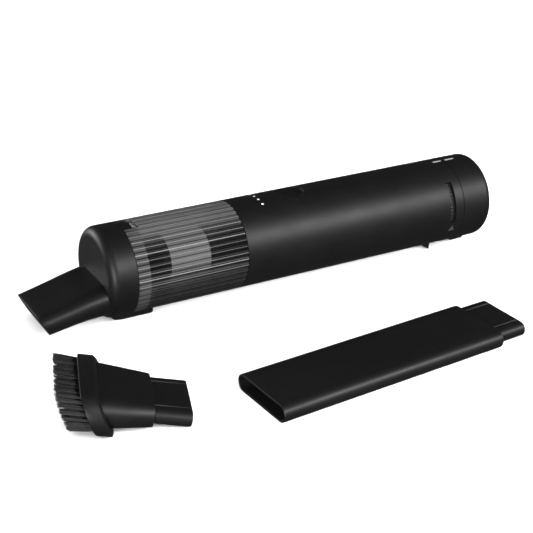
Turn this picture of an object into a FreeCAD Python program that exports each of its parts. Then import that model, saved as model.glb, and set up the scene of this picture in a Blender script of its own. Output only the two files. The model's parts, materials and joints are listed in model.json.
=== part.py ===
"""Handheld vacuum with its crevice tool and dusting brush, as a parametric document.

The barrel lies along X: its nozzle points to -X and its tail to +X. The row's origin is on the
surface that the vacuum stands on, below the seam between the front cap and the dust canister.
"""
import FreeCAD, Part
import math
import os
from types import SimpleNamespace

import Sketcher
from FreeCAD import Placement, Rotation, Vector

DIMENSIONS = {
    # barrel
    "axis_height": 35.0,
    "body_radius": 30.0,
    "wall": 2.4,
    "overrun": 1.0,
    "running_gap": 0.3,
    "fit_gap": 0.05,
    # front cap
    "cap_length": 18.4,
    "cap_wall": 2.2,
    "cap_edge": 6.2,
    "cap_inner_edge": 4.0,
    "cap_back": 0.1,
    "seal_length": 2.6,
    "seal_depth": 1.8,
    # hinge on top of the cap
    "hinge_x": 4.4,
    "hinge_drop": 3.0,
    "hinge_pin_radius": 0.8,
    "knuckle_radius": 2.2,
    "tongue_half": 6.7,
    "tongue_end": 6.6,
    "slot_half": 7.1,
    "slot_end": 10.8,
    "ear_end": 10.2,
    # nozzle
    "inlet_back": 3.0,
    "nozzle_wall": 1.1,
    "inlet_skin": 3.2,
    "base_top": 1.5,
    "base_bottom": 22.4,
    "base_half": 24.8,
    "middle_x": 40.0,
    "middle_top": 7.9,
    "middle_bottom": 23.2,
    "middle_half": 23.7,
    "tip_x": 66.0,
    "tip_top": 14.8,
    "tip_bottom": 27.8,
    "tip_half": 22.8,
    "lip_top_x": 62.9,
    "lip_bottom_x": 56.4,
    "lip_low": 32.0,
    "lip_high": 9.0,
    # inlet flap
    "flap_gap": 0.4,
    "flap_thickness": 1.2,
    "flap_half": 22.4,
    "flap_top": 2.4,
    "flap_bottom": 19.6,
    "clamp_height": 3.6,
    "clamp_half": 16.0,
    # release latch under the cap, which is also the front foot
    "latch_half": 7.25,
    "latch_front": 9.0,
    "latch_back": 19.5,
    "latch_nose_top": 30.9,
    "latch_nose_low": 32.0,
    "latch_chin_x": 7.0,
    "latch_chin_low": 33.3,
    "latch_heel": 0.8,
    "latch_top": 30.6,
    "latch_tail_low": 33.8,
    "latch_edge": 1.2,
    "latch_chamfer": 2.0,
    "latch_pin_x": 4.0,
    "latch_pin_drop": 32.0,
    "latch_pin_radius": 0.6,
    "latch_pin_half": 6.4,
    "latch_boss_half": 2.2,
    "latch_boss_length": 3.0,
    "latch_slot_half": 3.6,
    "latch_slot_front": 6.2,
    "latch_slot_back": 1.6,
    "latch_slot_floor": 33.0,
    "latch_boss_floor": 32.7,
    "coil_radius": 0.82,
    "coil_wire": 0.16,
    "coil_pitch": 0.5,
    "coil_first": 2.6,
    # dust canister
    "canister_front": 0.5,
    "canister_back": 78.5,
    "lug_front": 19.9,
    "lug_low": 32.8,
    "lug_ridge": 20.9,
    "lug_back": 24.4,
    "lug_root": 29.0,
    "lug_half": 4.0,
    # filter
    "filter_front": 24.6,
    "filter_back": 60.5,
    "filter_nose": 4.6,
    "filter_radius": 16.4,
    "filter_core": 12.6,
    "filter_plate": 2.4,
    "filter_window_count": 6,
    "filter_seat_radius": 14.9,
    "filter_seal_radius": 17.4,
    # intake seat between filter and motor
    "seat_front": 62.8,
    "seat_mouth": 10.5,
    "seat_neck": 64.6,
    "seat_cone_end": 72.5,
    "seat_skin": 2.0,
    "spigot_radius": 26.4,
    "spigot_end": 82.5,
    "flange_start": 79.0,
    "flange_radius": 27.5,
    "ring_start": 74.0,
    "ring_end": 77.0,
    "ring_radius": 27.3,
    # fan and motor
    "fan_start": 83.0,
    "fan_end": 97.0,
    "fan_outer": 25.5,
    "fan_skin": 1.6,
    "fan_eye": 9.5,
    "impeller_start": 86.0,
    "impeller_end": 95.4,
    "impeller_disc": 1.4,
    "impeller_radius": 21.6,
    "impeller_hub": 4.6,
    "blade_count": 9,
    "blade_half": 0.5,
    "blade_sweep": 28.0,
    "diffuser_end": 99.0,
    "diffuser_bore": 6.0,
    "vane_count": 12,
    "vane_radius": 20.8,
    "vane_hole": 2.3,
    "motor_start": 99.4,
    "motor_end": 127.0,
    "motor_radius": 16.0,
    "shaft_radius": 1.5,
    "shaft_start": 84.8,
    "shaft_end": 129.0,
    "mount_start": 118.0,
    "mount_end": 124.0,
    "mount_ring": 17.2,
    "mount_arm_half": 2.5,
    "mount_arm_count": 3,
    # shell
    "shell_start": 78.8,
    "shell_end": 253.3,
    # power button
    "button_x": 125.0,
    "button_hole": 10.2,
    "button_radius": 9.9,
    "button_top": 28.3,
    "button_low": 23.4,
    "button_flange": 11.0,
    "button_flange_top": 24.7,
    "dish_depth": 1.4,
    "dish_ball": 38.0,
    "gasket_outer": 12.4,
    "gasket_inner": 11.3,
    "gasket_low": 23.2,
    "gasket_top": 24.4,
    # electronics
    "board_x": 100.5,
    "board_length": 37.5,
    "board_half": 9.0,
    "board_low": 17.4,
    "board_thickness": 1.6,
    "switch_half": 3.0,
    "switch_height": 2.0,
    "plunger_radius": 1.7,
    "plunger_height": 0.9,
    "light_x": 99.6,
    "light_radius": 0.8,
    "light_low": 26.0,
    "light_top": 29.95,
    "light_step": 11.2,
    "light_count": 4,
    # battery
    "cell_radius": 9.1,
    "cell_start": 142.0,
    "cell_length": 65.0,
    "cell_pitch": 10.8,
    "cell_count": 3,
    "holder_inset": 3.0,
    "holder_thickness": 5.0,
    "holder_radius": 27.3,
    "air_hole": 4.2,
    "air_pitch": 20.6,
    "lead_radius": 0.9,
    "lead_spread": 4.0,
    "lead_height": 14.6,
    "lead_lap": 4.0,
    "pack_board_start": 210.0,
    "pack_board_radius": 19.0,
    "pack_board_thickness": 1.6,
    # charging port under the tail of the shell
    "port_x": 222.0,
    "port_half_long": 4.5,
    "port_half_wide": 1.6,
    "port_skin": 0.35,
    "port_low": 29.2,
    "port_high": 22.0,
    "port_hole_long": 5.6,
    "port_hole_wide": 2.6,
    "port_board_half_long": 7.0,
    "port_board_half_wide": 5.0,
    "port_board_thickness": 1.2,
    "cover_front": 214.4,
    "cover_back": 230.0,
    "cover_half": 5.0,
    "cover_skin": 1.15,
    "cover_gap": 0.1,
    "plug_half_long": 3.7,
    "plug_half_wide": 1.0,
    "plug_top": 28.6,
    # bulkhead, exhaust and rear foot
    "bulkhead_start": 236.2,
    "bulkhead_end": 238.2,
    "bulkhead_bore": 6.0,
    "screw_pitch": 14.0,
    "screw_radius": 1.25,
    "screw_head": 2.4,
    "screw_head_height": 1.5,
    "screw_length": 9.0,
    "screw_count": 3,
    "foam_end": 246.5,
    "foam_outer": 26.4,
    "foam_inner": 19.0,
    "screen_start": 238.6,
    "screen_end": 248.0,
    "screen_inner": 26.7,
    "screen_outer": 27.5,
    "slit_half": 0.6,
    "slit_step": 5.5,
    "slit_count": 10,
    "exhaust_start": 241.5,
    "exhaust_end": 246.3,
    "exhaust_first": 42.4,
    "exhaust_sweep": 58.6,
    "foot_front": 236.2,
    "foot_toe": 241.2,
    "foot_back": 242.6,
    "foot_shoulder": 30.6,
    "foot_root": 29.0,
    "foot_half": 6.5,
    # tail cap
    "tail_start": 253.8,
    "tail_end": 278.5,
    "tail_edge": 4.9,
    "sleeve_start": 248.6,
    "sleeve_outer": 27.2,
    "sleeve_inner": 25.2,
    "pad_start": 260.0,
    "pad_end": 275.5,
    "pad_half": 6.0,
    "pad_low": 32.4,
    "pad_edge": 1.6,
    # printed marks
    "mark_half": 0.65,
    "mark_thickness": 0.12,
    "shell_mark_start": 244.8,
    "shell_mark_end": 251.6,
    "cap_mark_start": 255.3,
    "cap_mark_end": 262.6,
    "arrow_x": 244.6,
    "arrow_half": 2.6,
    "arrow_length": 4.6,
    "arrow_angle": 109.5,
    # coupling neck shared by the loose tools
    "neck_half": 21.1,
    "neck_radius": 4.8,
    "neck_length": 22.0,
    "neck_wall": 1.4,
    "neck_shoulder": 4.0,
    "throat_reach": 6.0,
    "groove_half": 0.35,
    "groove_depth": 0.3,
    "groove_spread": 13.2,
    # crevice tool, lying in front of the barrel
    "crevice_x": 26.5,
    "crevice_y": -139.2,
    "crevice_yaw": 4.3,
    "crevice_length": 167.8,
    "crevice_half": 24.8,
    "crevice_radius": 5.85,
    "crevice_wall": 1.4,
    # dusting brush, lying in front of the nozzle
    "brush_x": -32.6,
    "brush_y": -115.8,
    "brush_yaw": -19.8,
    "funnel_length": 31.0,
    "funnel_half": 23.4,
    "funnel_radius": 6.9,
    "funnel_wide_half": 27.4,
    "funnel_wide_radius": 9.6,
    "collar_half": 32.0,
    "collar_radius": 12.8,
    "collar_wall": 1.8,
    "collar_front": 36.8,
    "collar_back": 26.8,
    "collar_lean": 28.0,
    "insert_depth": 5.0,
    "tuft_depth": 6.2,
    "bristle_front": 51.8,
}

doc = FreeCAD.newDocument("handheld_vacuum")
sheet = doc.addObject("Spreadsheet::Sheet", "sheet")
for row, (alias, amount) in enumerate(DIMENSIONS.items(), start=1):
    sheet.set(f"A{row}", alias)
    sheet.set(f"B{row}", str(amount))
    sheet.setAlias(f"B{row}", alias)
doc.recompute()


class Size:
    """A dimension worked out from the sheet: the expression that gives it, and its value."""

    def __init__(self, text, value):
        self.text = text
        self.value = value

    @staticmethod
    def of(other):
        return other if isinstance(other, Size) else Size(str(other), float(other))

    def combine(self, other, sign, value):
        return Size(f"({self.text} {sign} {Size.of(other).text})", value)

    def __add__(self, other):
        return self.combine(other, "+", self.value + Size.of(other).value)

    def __sub__(self, other):
        return self.combine(other, "-", self.value - Size.of(other).value)

    def __mul__(self, other):
        return self.combine(other, "*", self.value * Size.of(other).value)

    def __truediv__(self, other):
        return self.combine(other, "/", self.value / Size.of(other).value)

    def __neg__(self):
        return Size(f"(0 - {self.text})", -self.value)


def tangent(angle):
    return Size(f"tan({angle.text} * 1deg)", math.tan(math.radians(angle.value)))


d = SimpleNamespace(**{alias: Size(f"sheet.{alias}", float(amount))
                       for alias, amount in DIMENSIONS.items()})
ZERO = Size("0", 0.0)
FULL_TURN = 360.0
TOLERANCE = 0.01
ALONG_X = Rotation(Vector(0, 1, 0), 90)
ALONG_Y = Rotation(Vector(1, 0, 0), -90)
ALONG_Z = Rotation()
inner_radius = d.body_radius - d.wall
cap_inner = d.body_radius - d.cap_wall
nodes = []


# ---- building blocks ---------------------------------------------------------------------------

def bind(thing, field, amount):
    thing.setExpression(field, Size.of(amount).text)


def place(thing, x, y, z, turn=ALONG_Z):
    """Put a thing at a point given from the barrel's axis, with its own turn."""
    thing.Placement = Placement(Vector(), turn)
    bind(thing, "Placement.Base.x", x)
    bind(thing, "Placement.Base.y", y)
    bind(thing, "Placement.Base.z", Size.of(z) + d.axis_height)
    return thing


def rod(radius, start, end, turn, x=ZERO, y=ZERO, z=ZERO):
    """A round bar from start to end along the axis that turn gives, through the point x, y, z."""
    bar = doc.addObject("Part::Cylinder", "rod")
    bind(bar, "Radius", radius)
    bind(bar, "Height", end - start)
    steps = {id(ALONG_X): (start, ZERO, ZERO),
             id(ALONG_Y): (ZERO, start, ZERO),
             id(ALONG_Z): (ZERO, ZERO, start)}
    shift = steps[id(turn)]
    return place(bar, Size.of(x) + shift[0], Size.of(y) + shift[1], Size.of(z) + shift[2], turn)


def block(x_low, x_high, y_low, y_high, z_low, z_high):
    box = doc.addObject("Part::Box", "block")
    bind(box, "Length", x_high - x_low)
    bind(box, "Width", y_high - y_low)
    bind(box, "Height", z_high - z_low)
    return place(box, x_low, y_low, z_low)


def fuse(*pieces):
    joined = doc.addObject("Part::MultiFuse", "fuse")
    joined.Shapes = list(pieces)
    joined.Refine = True
    return joined


def cut(base, *tools):
    remainder = doc.addObject("Part::Cut", "cut")
    remainder.Base = base
    remainder.Tool = tools[0] if len(tools) == 1 else fuse(*tools)
    return remainder


def common(first, second):
    shared = doc.addObject("Part::Common", "common")
    shared.Base = first
    shared.Tool = second
    return shared


def group(*pieces):
    """Several like pieces, kept as separate solids of one node."""
    gathered = doc.addObject("Part::Compound", "group")
    gathered.Links = list(pieces)
    return gathered


def ring(outer, inner, start, end):
    """A tube about the barrel's axis."""
    return cut(rod(outer, start, end, ALONG_X), rod(inner, start - d.overrun, end + d.overrun, ALONG_X))


def around(thing, angle):
    """Turn a thing about the barrel's axis; positive angles go from the top to the -Y side."""
    turned = doc.addObject("Part::Compound", "turned")
    turned.Links = [thing]
    swing = math.radians(angle)
    height = DIMENSIONS["axis_height"]
    base = Vector(0, height * math.sin(-swing) * -1, height - height * math.cos(swing))
    turned.Placement = Placement(base, Rotation(Vector(1, 0, 0), angle))
    return turned


def polar(count, make, start=0.0, sweep=FULL_TURN):
    """Copies of a thing at equal steps about the barrel's axis."""
    return [around(make(), start + sweep * step / count) for step in range(int(count))]


def node(label, thing, placement=None):
    """Name a finished sub-part; its label is its file's name."""
    thing.Label = label
    if placement is not None:
        thing.Placement = placement
    nodes.append(thing)
    return thing


# ---- sketched bodies ---------------------------------------------------------------------------

def plane_of(body, role):
    return next(item for item in body.Origin.OriginFeatures if item.Role == role)


def new_body(on_axis=True):
    body = doc.addObject("PartDesign::Body", "body")
    if on_axis:
        bind(body, "Placement.Base.z", d.axis_height)
    return body


def new_sketch(body, role, offset=ZERO):
    sketch = body.newObject("Sketcher::SketchObject", "outline")
    sketch.AttachmentSupport = [(plane_of(body, role), "")]
    sketch.MapMode = "FlatFace"
    bind(sketch, "AttachmentOffset.Base.z", offset)
    return sketch


def pin_point(sketch, geometry, end, x, y):
    """Hold one point of a sketch at x, y from the sketch's origin."""
    for kind, amount, axis in (("DistanceX", Size.of(x), -2), ("DistanceY", Size.of(y), -1)):
        if amount.text == ZERO.text:
            sketch.addConstraint(Sketcher.Constraint("PointOnObject", geometry, end, axis))
            continue
        index = sketch.addConstraint(Sketcher.Constraint(kind, -1, 1, geometry, end, amount.value))
        bind(sketch, f"Constraints[{index}]", amount)


def polygon(sketch, corners):
    """A closed outline of straight lines."""
    points = [Vector(Size.of(x).value, Size.of(y).value, 0) for x, y in corners]
    last = len(points) - 1
    for index, point in enumerate(points):
        sketch.addGeometry(Part.LineSegment(point, points[0 if index == last else index + 1]), False)
    for index, (x, y) in enumerate(corners):
        before = last if index == 0 else index - 1
        sketch.addConstraint(Sketcher.Constraint("Coincident", before, 2, index, 1))
        pin_point(sketch, index, 1, x, y)


def stadium(sketch, half, radius, height=ZERO):
    """A flat oval: two level lines joined by half circles, centred at the given height."""
    reach, high = (half - radius), Size.of(height)
    centre = Vector(reach.value, high.value, 0)
    mirror = Vector(-reach.value, high.value, 0)
    up = Vector(0, radius.value, 0)
    normal = Vector(0, 0, 1)
    quarter = math.pi / 2
    near_circle = Part.Circle(centre, normal, radius.value)
    far_circle = Part.Circle(mirror, normal, radius.value)
    sketch.addGeometry(Part.ArcOfCircle(near_circle, -quarter, quarter), False)
    sketch.addGeometry(Part.LineSegment(centre + up, mirror + up), False)
    sketch.addGeometry(Part.ArcOfCircle(far_circle, quarter, 3 * quarter), False)
    sketch.addGeometry(Part.LineSegment(mirror - up, centre - up), False)
    for first, second in ((0, 1), (1, 2), (2, 3), (3, 0)):
        sketch.addConstraint(Sketcher.Constraint("Tangent", first, 2, second, 1))
    for arc, x in ((0, reach), (2, -reach)):
        pin_point(sketch, arc, 3, x, high)
        index = sketch.addConstraint(Sketcher.Constraint("Radius", arc, radius.value))
        bind(sketch, f"Constraints[{index}]", radius)


def revolved(outline):
    """A body turned about the barrel's axis from an outline of x and radius."""
    body = new_body()
    sketch = new_sketch(body, "XZ_Plane")
    polygon(sketch, outline)
    turn = body.newObject("PartDesign::Revolution", "turned")
    turn.Profile = sketch
    turn.ReferenceAxis = (sketch, ["H_Axis"])
    turn.Angle = FULL_TURN
    return body


def plate(outline, half, on_axis=True):
    """A body cut from a plate: an outline of x and z, and half its thickness along Y."""
    body = new_body(on_axis)
    sketch = new_sketch(body, "XZ_Plane")
    polygon(sketch, outline)
    pad = body.newObject("PartDesign::Pad", "pad")
    pad.Profile = sketch
    pad.SideType = "Symmetric"
    bind(pad, "Length", half * 2)
    return body


def add_loft(body, kind, sections):
    """Join flat ovals, each given by its x, half width, radius and height, into one run."""
    sketches = []
    for x, half, radius, height in sections:
        sketch = new_sketch(body, "YZ_Plane", x)
        stadium(sketch, half, radius, height)
        sketches.append(sketch)
    loft = body.newObject(kind, "loft")
    loft.Profile = sketches[0]
    loft.Sections = sketches[1:]
    return loft


def oval_tube(sections, skin=None):
    """A body lofted through flat ovals, solid, or hollow with a skin of the given thickness."""
    body = new_body(on_axis=False)
    add_loft(body, "PartDesign::AdditiveLoft", sections)
    if skin is not None:
        add_loft(body, "PartDesign::SubtractiveLoft",
                 [(x, half - skin, radius - skin, height) for x, half, radius, height in sections])
    return body


def edges_where(shape, test):
    return [f"Edge{index}" for index, edge in enumerate(shape.Edges, start=1) if test(edge)]


def circle_at(x, radius):
    """A test for the full circle edge about the barrel's axis at x with this radius."""
    def test(edge):
        curve = edge.Curve
        return (isinstance(curve, Part.Circle) and abs(curve.Radius - radius.value) < TOLERANCE
                and abs(curve.Center.x - x.value) < TOLERANCE)
    return test


def rounded(body, test, radius):
    """Round the edges of a body that the test picks."""
    doc.recompute()
    base = body.Tip
    fillet = body.newObject("PartDesign::Fillet", "fillet")
    fillet.Base = (base, edges_where(base.Shape, test))
    bind(fillet, "Radius", radius)
    return body


def level_edge(drop, length):
    """A test for the straight edges of this length along X at this drop below the axis."""
    def test(edge):
        first, last = edge.firstVertex().Point, edge.lastVertex().Point
        return (abs(first.z - last.z) < TOLERANCE and abs(first.y - last.y) < TOLERANCE
                and abs(first.z + drop.value) < TOLERANCE
                and abs(abs(first.x - last.x) - length.value) < TOLERANCE)
    return test


def chamfered(body, test, width):
    """Bevel the edges of a body that the test picks."""
    doc.recompute()
    base = body.Tip
    bevel = body.newObject("PartDesign::Chamfer", "bevel")
    bevel.Base = (base, edges_where(base.Shape, test))
    bind(bevel, "Size", width)
    return body


# ---- front cap ---------------------------------------------------------------------------------

def front_cap():
    cap_front = -d.cap_length
    floor = cap_front + d.cap_wall
    cup = revolved([(cap_front, ZERO), (cap_front, d.body_radius), (-d.cap_back, d.body_radius),
                    (-d.cap_back, cap_inner), (floor, cap_inner), (floor, ZERO)])
    rounded(cup, circle_at(cap_front, d.body_radius), d.cap_edge)
    rounded(cup, circle_at(floor, cap_inner), d.cap_inner_edge)
    hinge_height = d.body_radius - d.hinge_drop
    tongue = common(block(-d.cap_back - d.cap_wall, d.tongue_end, -d.tongue_half, d.tongue_half,
                          hinge_height - d.knuckle_radius, d.body_radius + d.overrun),
                    rod(d.body_radius - d.running_gap, -d.cap_wall * 2, d.slot_end, ALONG_X))
    knuckle = rod(d.knuckle_radius, -d.tongue_half, d.tongue_half, ALONG_Y, x=d.hinge_x, z=hinge_height)
    corner = block(d.hinge_x, d.tongue_end + d.overrun, -d.slot_half, d.slot_half,
                   hinge_height - d.knuckle_radius - d.overrun, hinge_height)
    boss = block(-d.latch_pin_x - d.latch_boss_length / 2, -d.latch_pin_x + d.latch_boss_length / 2,
                 -d.latch_boss_half, d.latch_boss_half, -d.latch_boss_floor, -cap_inner - d.cap_wall / 2)
    pin_bore = rod(d.hinge_pin_radius + d.fit_gap, -d.slot_half, d.slot_half, ALONG_Y,
                   x=d.hinge_x, z=hinge_height)
    latch_bore = rod(d.latch_pin_radius, -d.latch_half, d.latch_half, ALONG_Y,
                     x=-d.latch_pin_x, z=-d.latch_pin_drop)
    hole = oval_bar(cap_front - d.overrun, floor + d.cap_inner_edge, d.base_half,
                    inlet_radius(), inlet_height())
    inside = rod(cap_inner, -d.cap_length, -d.cap_back, ALONG_X)
    whole = fuse(cup, cut(tongue, corner, inside), knuckle, boss)
    return node("front_cap", cut(whole, pin_bore, latch_bore, hole))


def inlet_radius():
    return (d.base_bottom - d.base_top) / 2


def inlet_height():
    return -(d.base_bottom + d.base_top) / 2


def oval_bar(start, end, half, radius, height):
    """A flat oval bar along X."""
    body = new_body()
    sketch = new_sketch(body, "YZ_Plane", start)
    stadium(sketch, half, radius, height)
    pad = body.newObject("PartDesign::Pad", "pad")
    pad.Profile = sketch
    bind(pad, "Length", end - start)
    return body


def suction_nozzle():
    """The flat snout: level below, sloping on top, and cut off at a slant at its mouth."""
    face = -d.cap_length
    back = face + d.inlet_back

    def section(x, half, top, bottom, skin=ZERO):
        return (x, half - skin, (bottom - top) / 2 - skin, -(bottom + top) / 2)

    def run(body, kind, skin, base_skin):
        base = (d.base_half - d.fit_gap, d.base_top + d.fit_gap, d.base_bottom - d.fit_gap, base_skin)
        add_loft(body, kind, [section(back, *base), section(face, *base)])
        add_loft(body, kind, [section(face, *base),
                              section(-d.middle_x, d.middle_half, d.middle_top, d.middle_bottom, skin),
                              section(-d.tip_x, d.tip_half, d.tip_top, d.tip_bottom, skin)])

    body = new_body()
    run(body, "PartDesign::AdditiveLoft", ZERO, ZERO)
    run(body, "PartDesign::SubtractiveLoft", d.nozzle_wall, d.inlet_skin)
    lean = (d.lip_top_x - d.lip_bottom_x) / (d.tip_bottom - d.tip_top)
    high_x = d.lip_top_x + lean * (d.tip_top - d.lip_high)
    low_x = d.lip_bottom_x - lean * (d.lip_low - d.tip_bottom)
    far = d.tip_x + d.overrun
    sketch = new_sketch(body, "XZ_Plane")
    polygon(sketch, [(-high_x, -d.lip_high), (-far, -d.lip_high),
                     (-far, -d.lip_low), (-low_x, -d.lip_low)])
    mouth = body.newObject("PartDesign::Pocket", "mouth")
    mouth.Profile = sketch
    mouth.SideType = "Symmetric"
    bind(mouth, "Length", d.base_half * 2 + d.overrun)
    return node("suction_nozzle", body)


def cap_seal():
    return node("cap_seal", ring(cap_inner, cap_inner - d.seal_depth,
                                 -d.cap_back - d.seal_length, -d.cap_back))


def inlet_flap():
    start = -d.cap_length + d.inlet_back + d.flap_gap
    height = -(d.flap_bottom + d.flap_top) / 2
    radius = (d.flap_bottom - d.flap_top) / 2
    return node("inlet_flap", oval_bar(start, start + d.flap_thickness, d.flap_half, radius, height))


def flap_clamp():
    """The bar on the cap's inner face that the flap hangs from."""
    low = -d.base_top + d.cap_back
    start = -d.cap_length + d.cap_wall
    return node("flap_clamp", block(start, start + d.flap_thickness + d.overrun,
                                    -d.clamp_half, d.clamp_half, low, low + d.clamp_height))


def hinge_pin():
    return node("hinge_pin", rod(d.hinge_pin_radius, -d.ear_end, d.ear_end, ALONG_Y,
                                 x=d.hinge_x, z=d.body_radius - d.hinge_drop))


def release_latch():
    """The bar under the cap: its tail reaches back to the canister's lug and is the front foot."""
    floor = d.axis_height
    bar = plate([(-d.latch_front, -d.latch_nose_top), (-d.latch_front, -d.latch_nose_low),
                 (-d.latch_chin_x, -d.latch_chin_low), (-d.latch_heel, -floor),
                 (d.latch_back - d.latch_edge, -floor), (d.latch_back, -d.latch_tail_low),
                 (d.latch_back, -d.latch_top), (ZERO, -d.latch_top)], d.latch_half)
    chamfered(bar, level_edge(floor, d.latch_back - d.latch_edge + d.latch_heel), d.latch_chamfer)
    slot = block(-d.latch_slot_front, -d.latch_slot_back, -d.latch_slot_half, d.latch_slot_half,
                 -d.latch_slot_floor, -d.latch_top + d.overrun)
    bore = rod(d.latch_pin_radius + d.fit_gap, -d.latch_half - d.overrun, d.latch_half + d.overrun, ALONG_Y,
               x=-d.latch_pin_x, z=-d.latch_pin_drop)
    return node("release_latch", cut(bar, slot, bore))


def latch_pin():
    return node("latch_pin", rod(d.latch_pin_radius, -d.latch_pin_half, d.latch_pin_half, ALONG_Y,
                                 x=-d.latch_pin_x, z=-d.latch_pin_drop))


def latch_spring():
    """Two short coils of spring wire about the latch's pin, one each side of the cap's boss."""
    coils = []
    for side in (-1, 1):
        for turn in (0, 1):
            coil = doc.addObject("Part::Torus", "coil")
            bind(coil, "Radius1", d.coil_radius)
            bind(coil, "Radius2", d.coil_wire)
            coils.append(place(coil, -d.latch_pin_x, (d.coil_first + d.coil_pitch * turn) * side,
                               -d.latch_pin_drop, ALONG_Y))
    return node("latch_spring", group(*coils))


# ---- dust canister and filter ------------------------------------------------------------------

def dust_canister():
    tube = revolved([(d.canister_front, inner_radius), (d.canister_front, d.body_radius),
                     (d.canister_back, d.body_radius), (d.canister_back, inner_radius)])
    hinge_height = d.body_radius - d.hinge_drop
    ears = common(block(d.canister_front, d.slot_end, -d.ear_end, d.ear_end,
                        hinge_height - d.knuckle_radius, d.body_radius),
                  rod(inner_radius + d.wall / 2, d.canister_front, d.slot_end, ALONG_X))
    slot = block(-d.overrun, d.slot_end, -d.slot_half, d.slot_half, ZERO, d.body_radius + d.overrun)
    bore = rod(d.hinge_pin_radius, -d.ear_end, d.ear_end, ALONG_Y, x=d.hinge_x, z=hinge_height)
    lug = plate([(d.lug_front, -d.lug_root), (d.lug_front, -d.lug_low), (d.lug_ridge, -d.lug_low),
                 (d.lug_back, -d.lug_root)], d.lug_half)
    return node("dust_canister", cut(fuse(tube, ears, lug), slot, bore))


def filter_cage():
    """Thick front plate, rear ring and ribbed core that hold the pleated medium."""
    plate_back = d.filter_front + d.filter_nose
    front = rod(d.filter_radius, d.filter_front, plate_back, ALONG_X)
    ring_front = d.filter_back - d.filter_plate
    rear = ring(d.filter_radius, d.filter_core - d.filter_plate, ring_front, d.filter_back)
    core = ring(d.filter_core, d.filter_core - d.filter_plate / 2, plate_back, ring_front)
    windows = polar(d.filter_window_count.value,
                    lambda: block(plate_back + d.overrun, ring_front - d.overrun,
                                  -d.filter_plate, d.filter_plate, ZERO, d.filter_core + d.overrun))
    return node("filter_cage", fuse(front, rear, cut(core, *windows)))


def filter_medium():
    return node("filter_medium", ring(d.filter_radius, d.filter_core, d.filter_front + d.filter_nose,
                                      d.filter_back - d.filter_plate))


def filter_seal():
    return node("filter_seal", ring(d.filter_seal_radius, d.filter_core - d.filter_plate,
                                    d.filter_back, d.seat_front - d.running_gap))


def intake_seat():
    """The funnel between filter and fan; its spigot carries the canister."""
    lip = d.filter_seat_radius
    skin = d.seat_skin
    return node("intake_seat", revolved([
        (d.seat_front, d.seat_mouth), (d.seat_front, lip), (d.seat_neck, lip),
        (d.seat_cone_end, d.spigot_radius), (d.flange_start, d.spigot_radius),
        (d.flange_start, d.flange_radius), (d.spigot_end, d.flange_radius),
        (d.spigot_end, d.spigot_radius - skin), (d.seat_cone_end + skin / 2, d.spigot_radius - skin),
        (d.seat_neck + skin / 2, d.seat_mouth)]))


def canister_seal():
    return node("canister_seal", ring(d.ring_radius, d.spigot_radius, d.ring_start, d.ring_end))


# ---- fan, motor and electronics ----------------------------------------------------------------

def fan_housing():
    inner = d.fan_outer - d.fan_skin
    return node("fan_housing", revolved([
        (d.fan_start, d.fan_eye), (d.fan_start, d.fan_outer), (d.fan_end, d.fan_outer), (d.fan_end, inner),
        (d.fan_start + d.fan_skin, inner), (d.fan_start + d.fan_skin, d.fan_eye)]))


def impeller():
    hub = rod(d.impeller_hub, d.impeller_start, d.impeller_end, ALONG_X)
    disc = rod(d.impeller_radius, d.impeller_end - d.impeller_disc, d.impeller_end, ALONG_X)

    def blade():
        flat = block(d.impeller_start + d.overrun, d.impeller_end - d.impeller_disc / 2,
                     -d.blade_half, d.blade_half, d.shaft_radius * 2, d.impeller_radius)
        lean = around(flat, 0)
        centre = Vector(0, 0, DIMENSIONS["axis_height"] + DIMENSIONS["impeller_hub"])
        lean.Placement = Placement(Vector(), Rotation(Vector(1, 0, 0), DIMENSIONS["blade_sweep"]), centre)
        return lean

    wheel = fuse(hub, disc, *polar(d.blade_count.value, blade))
    trimmed = common(wheel, rod(d.impeller_radius, d.impeller_start, d.impeller_end, ALONG_X))
    return node("impeller", cut(trimmed, rod(d.shaft_radius, d.fan_start, d.fan_end, ALONG_X)))


def motor_shaft():
    return node("motor_shaft", rod(d.shaft_radius, d.shaft_start, d.shaft_end, ALONG_X))


def diffuser():
    flat = ring(d.fan_outer, d.diffuser_bore, d.fan_end, d.diffuser_end)
    vents = polar(d.vane_count.value,
                  lambda: rod(d.vane_hole, d.fan_start, d.motor_end, ALONG_X, z=d.vane_radius))
    return node("diffuser", cut(flat, *vents))


def motor():
    return node("motor", ring(d.motor_radius, d.shaft_radius + d.fit_gap, d.motor_start, d.motor_end))


def motor_mount():
    """Rubber ring round the motor with three arms to the shell."""
    collar = ring(d.mount_ring, d.motor_radius, d.mount_start, d.mount_end)
    arms = polar(d.mount_arm_count.value,
                 lambda: block(d.mount_start, d.mount_end, -d.mount_arm_half, d.mount_arm_half,
                               d.motor_radius + d.overrun, d.flange_radius),
                 start=FULL_TURN / d.mount_arm_count.value / 2)
    reach = rod(d.flange_radius, d.mount_start, d.mount_end, ALONG_X)
    return node("motor_mount", common(fuse(collar, *arms), reach))


def control_board():
    return node("control_board", block(d.board_x, d.board_x + d.board_length, -d.board_half, d.board_half,
                                       d.board_low, d.board_low + d.board_thickness))


def tact_switch():
    low = d.board_low + d.board_thickness
    case = block(d.button_x - d.switch_half, d.button_x + d.switch_half, -d.switch_half, d.switch_half,
                 low, low + d.switch_height)
    plunger = rod(d.plunger_radius, low + d.switch_height / 2, low + d.switch_height + d.plunger_height,
                  ALONG_Z, x=d.button_x)
    return node("tact_switch", fuse(case, plunger))


def light_angles():
    half = (d.light_count.value - 1) / 2
    return [d.light_step.value * (index - half) for index in range(int(d.light_count.value))]


def indicator_lights():
    pipes = [around(rod(d.light_radius, d.light_low, d.light_top, ALONG_Z, x=d.light_x), angle)
             for angle in light_angles()]
    return node("indicator_lights", group(*pipes))


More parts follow.
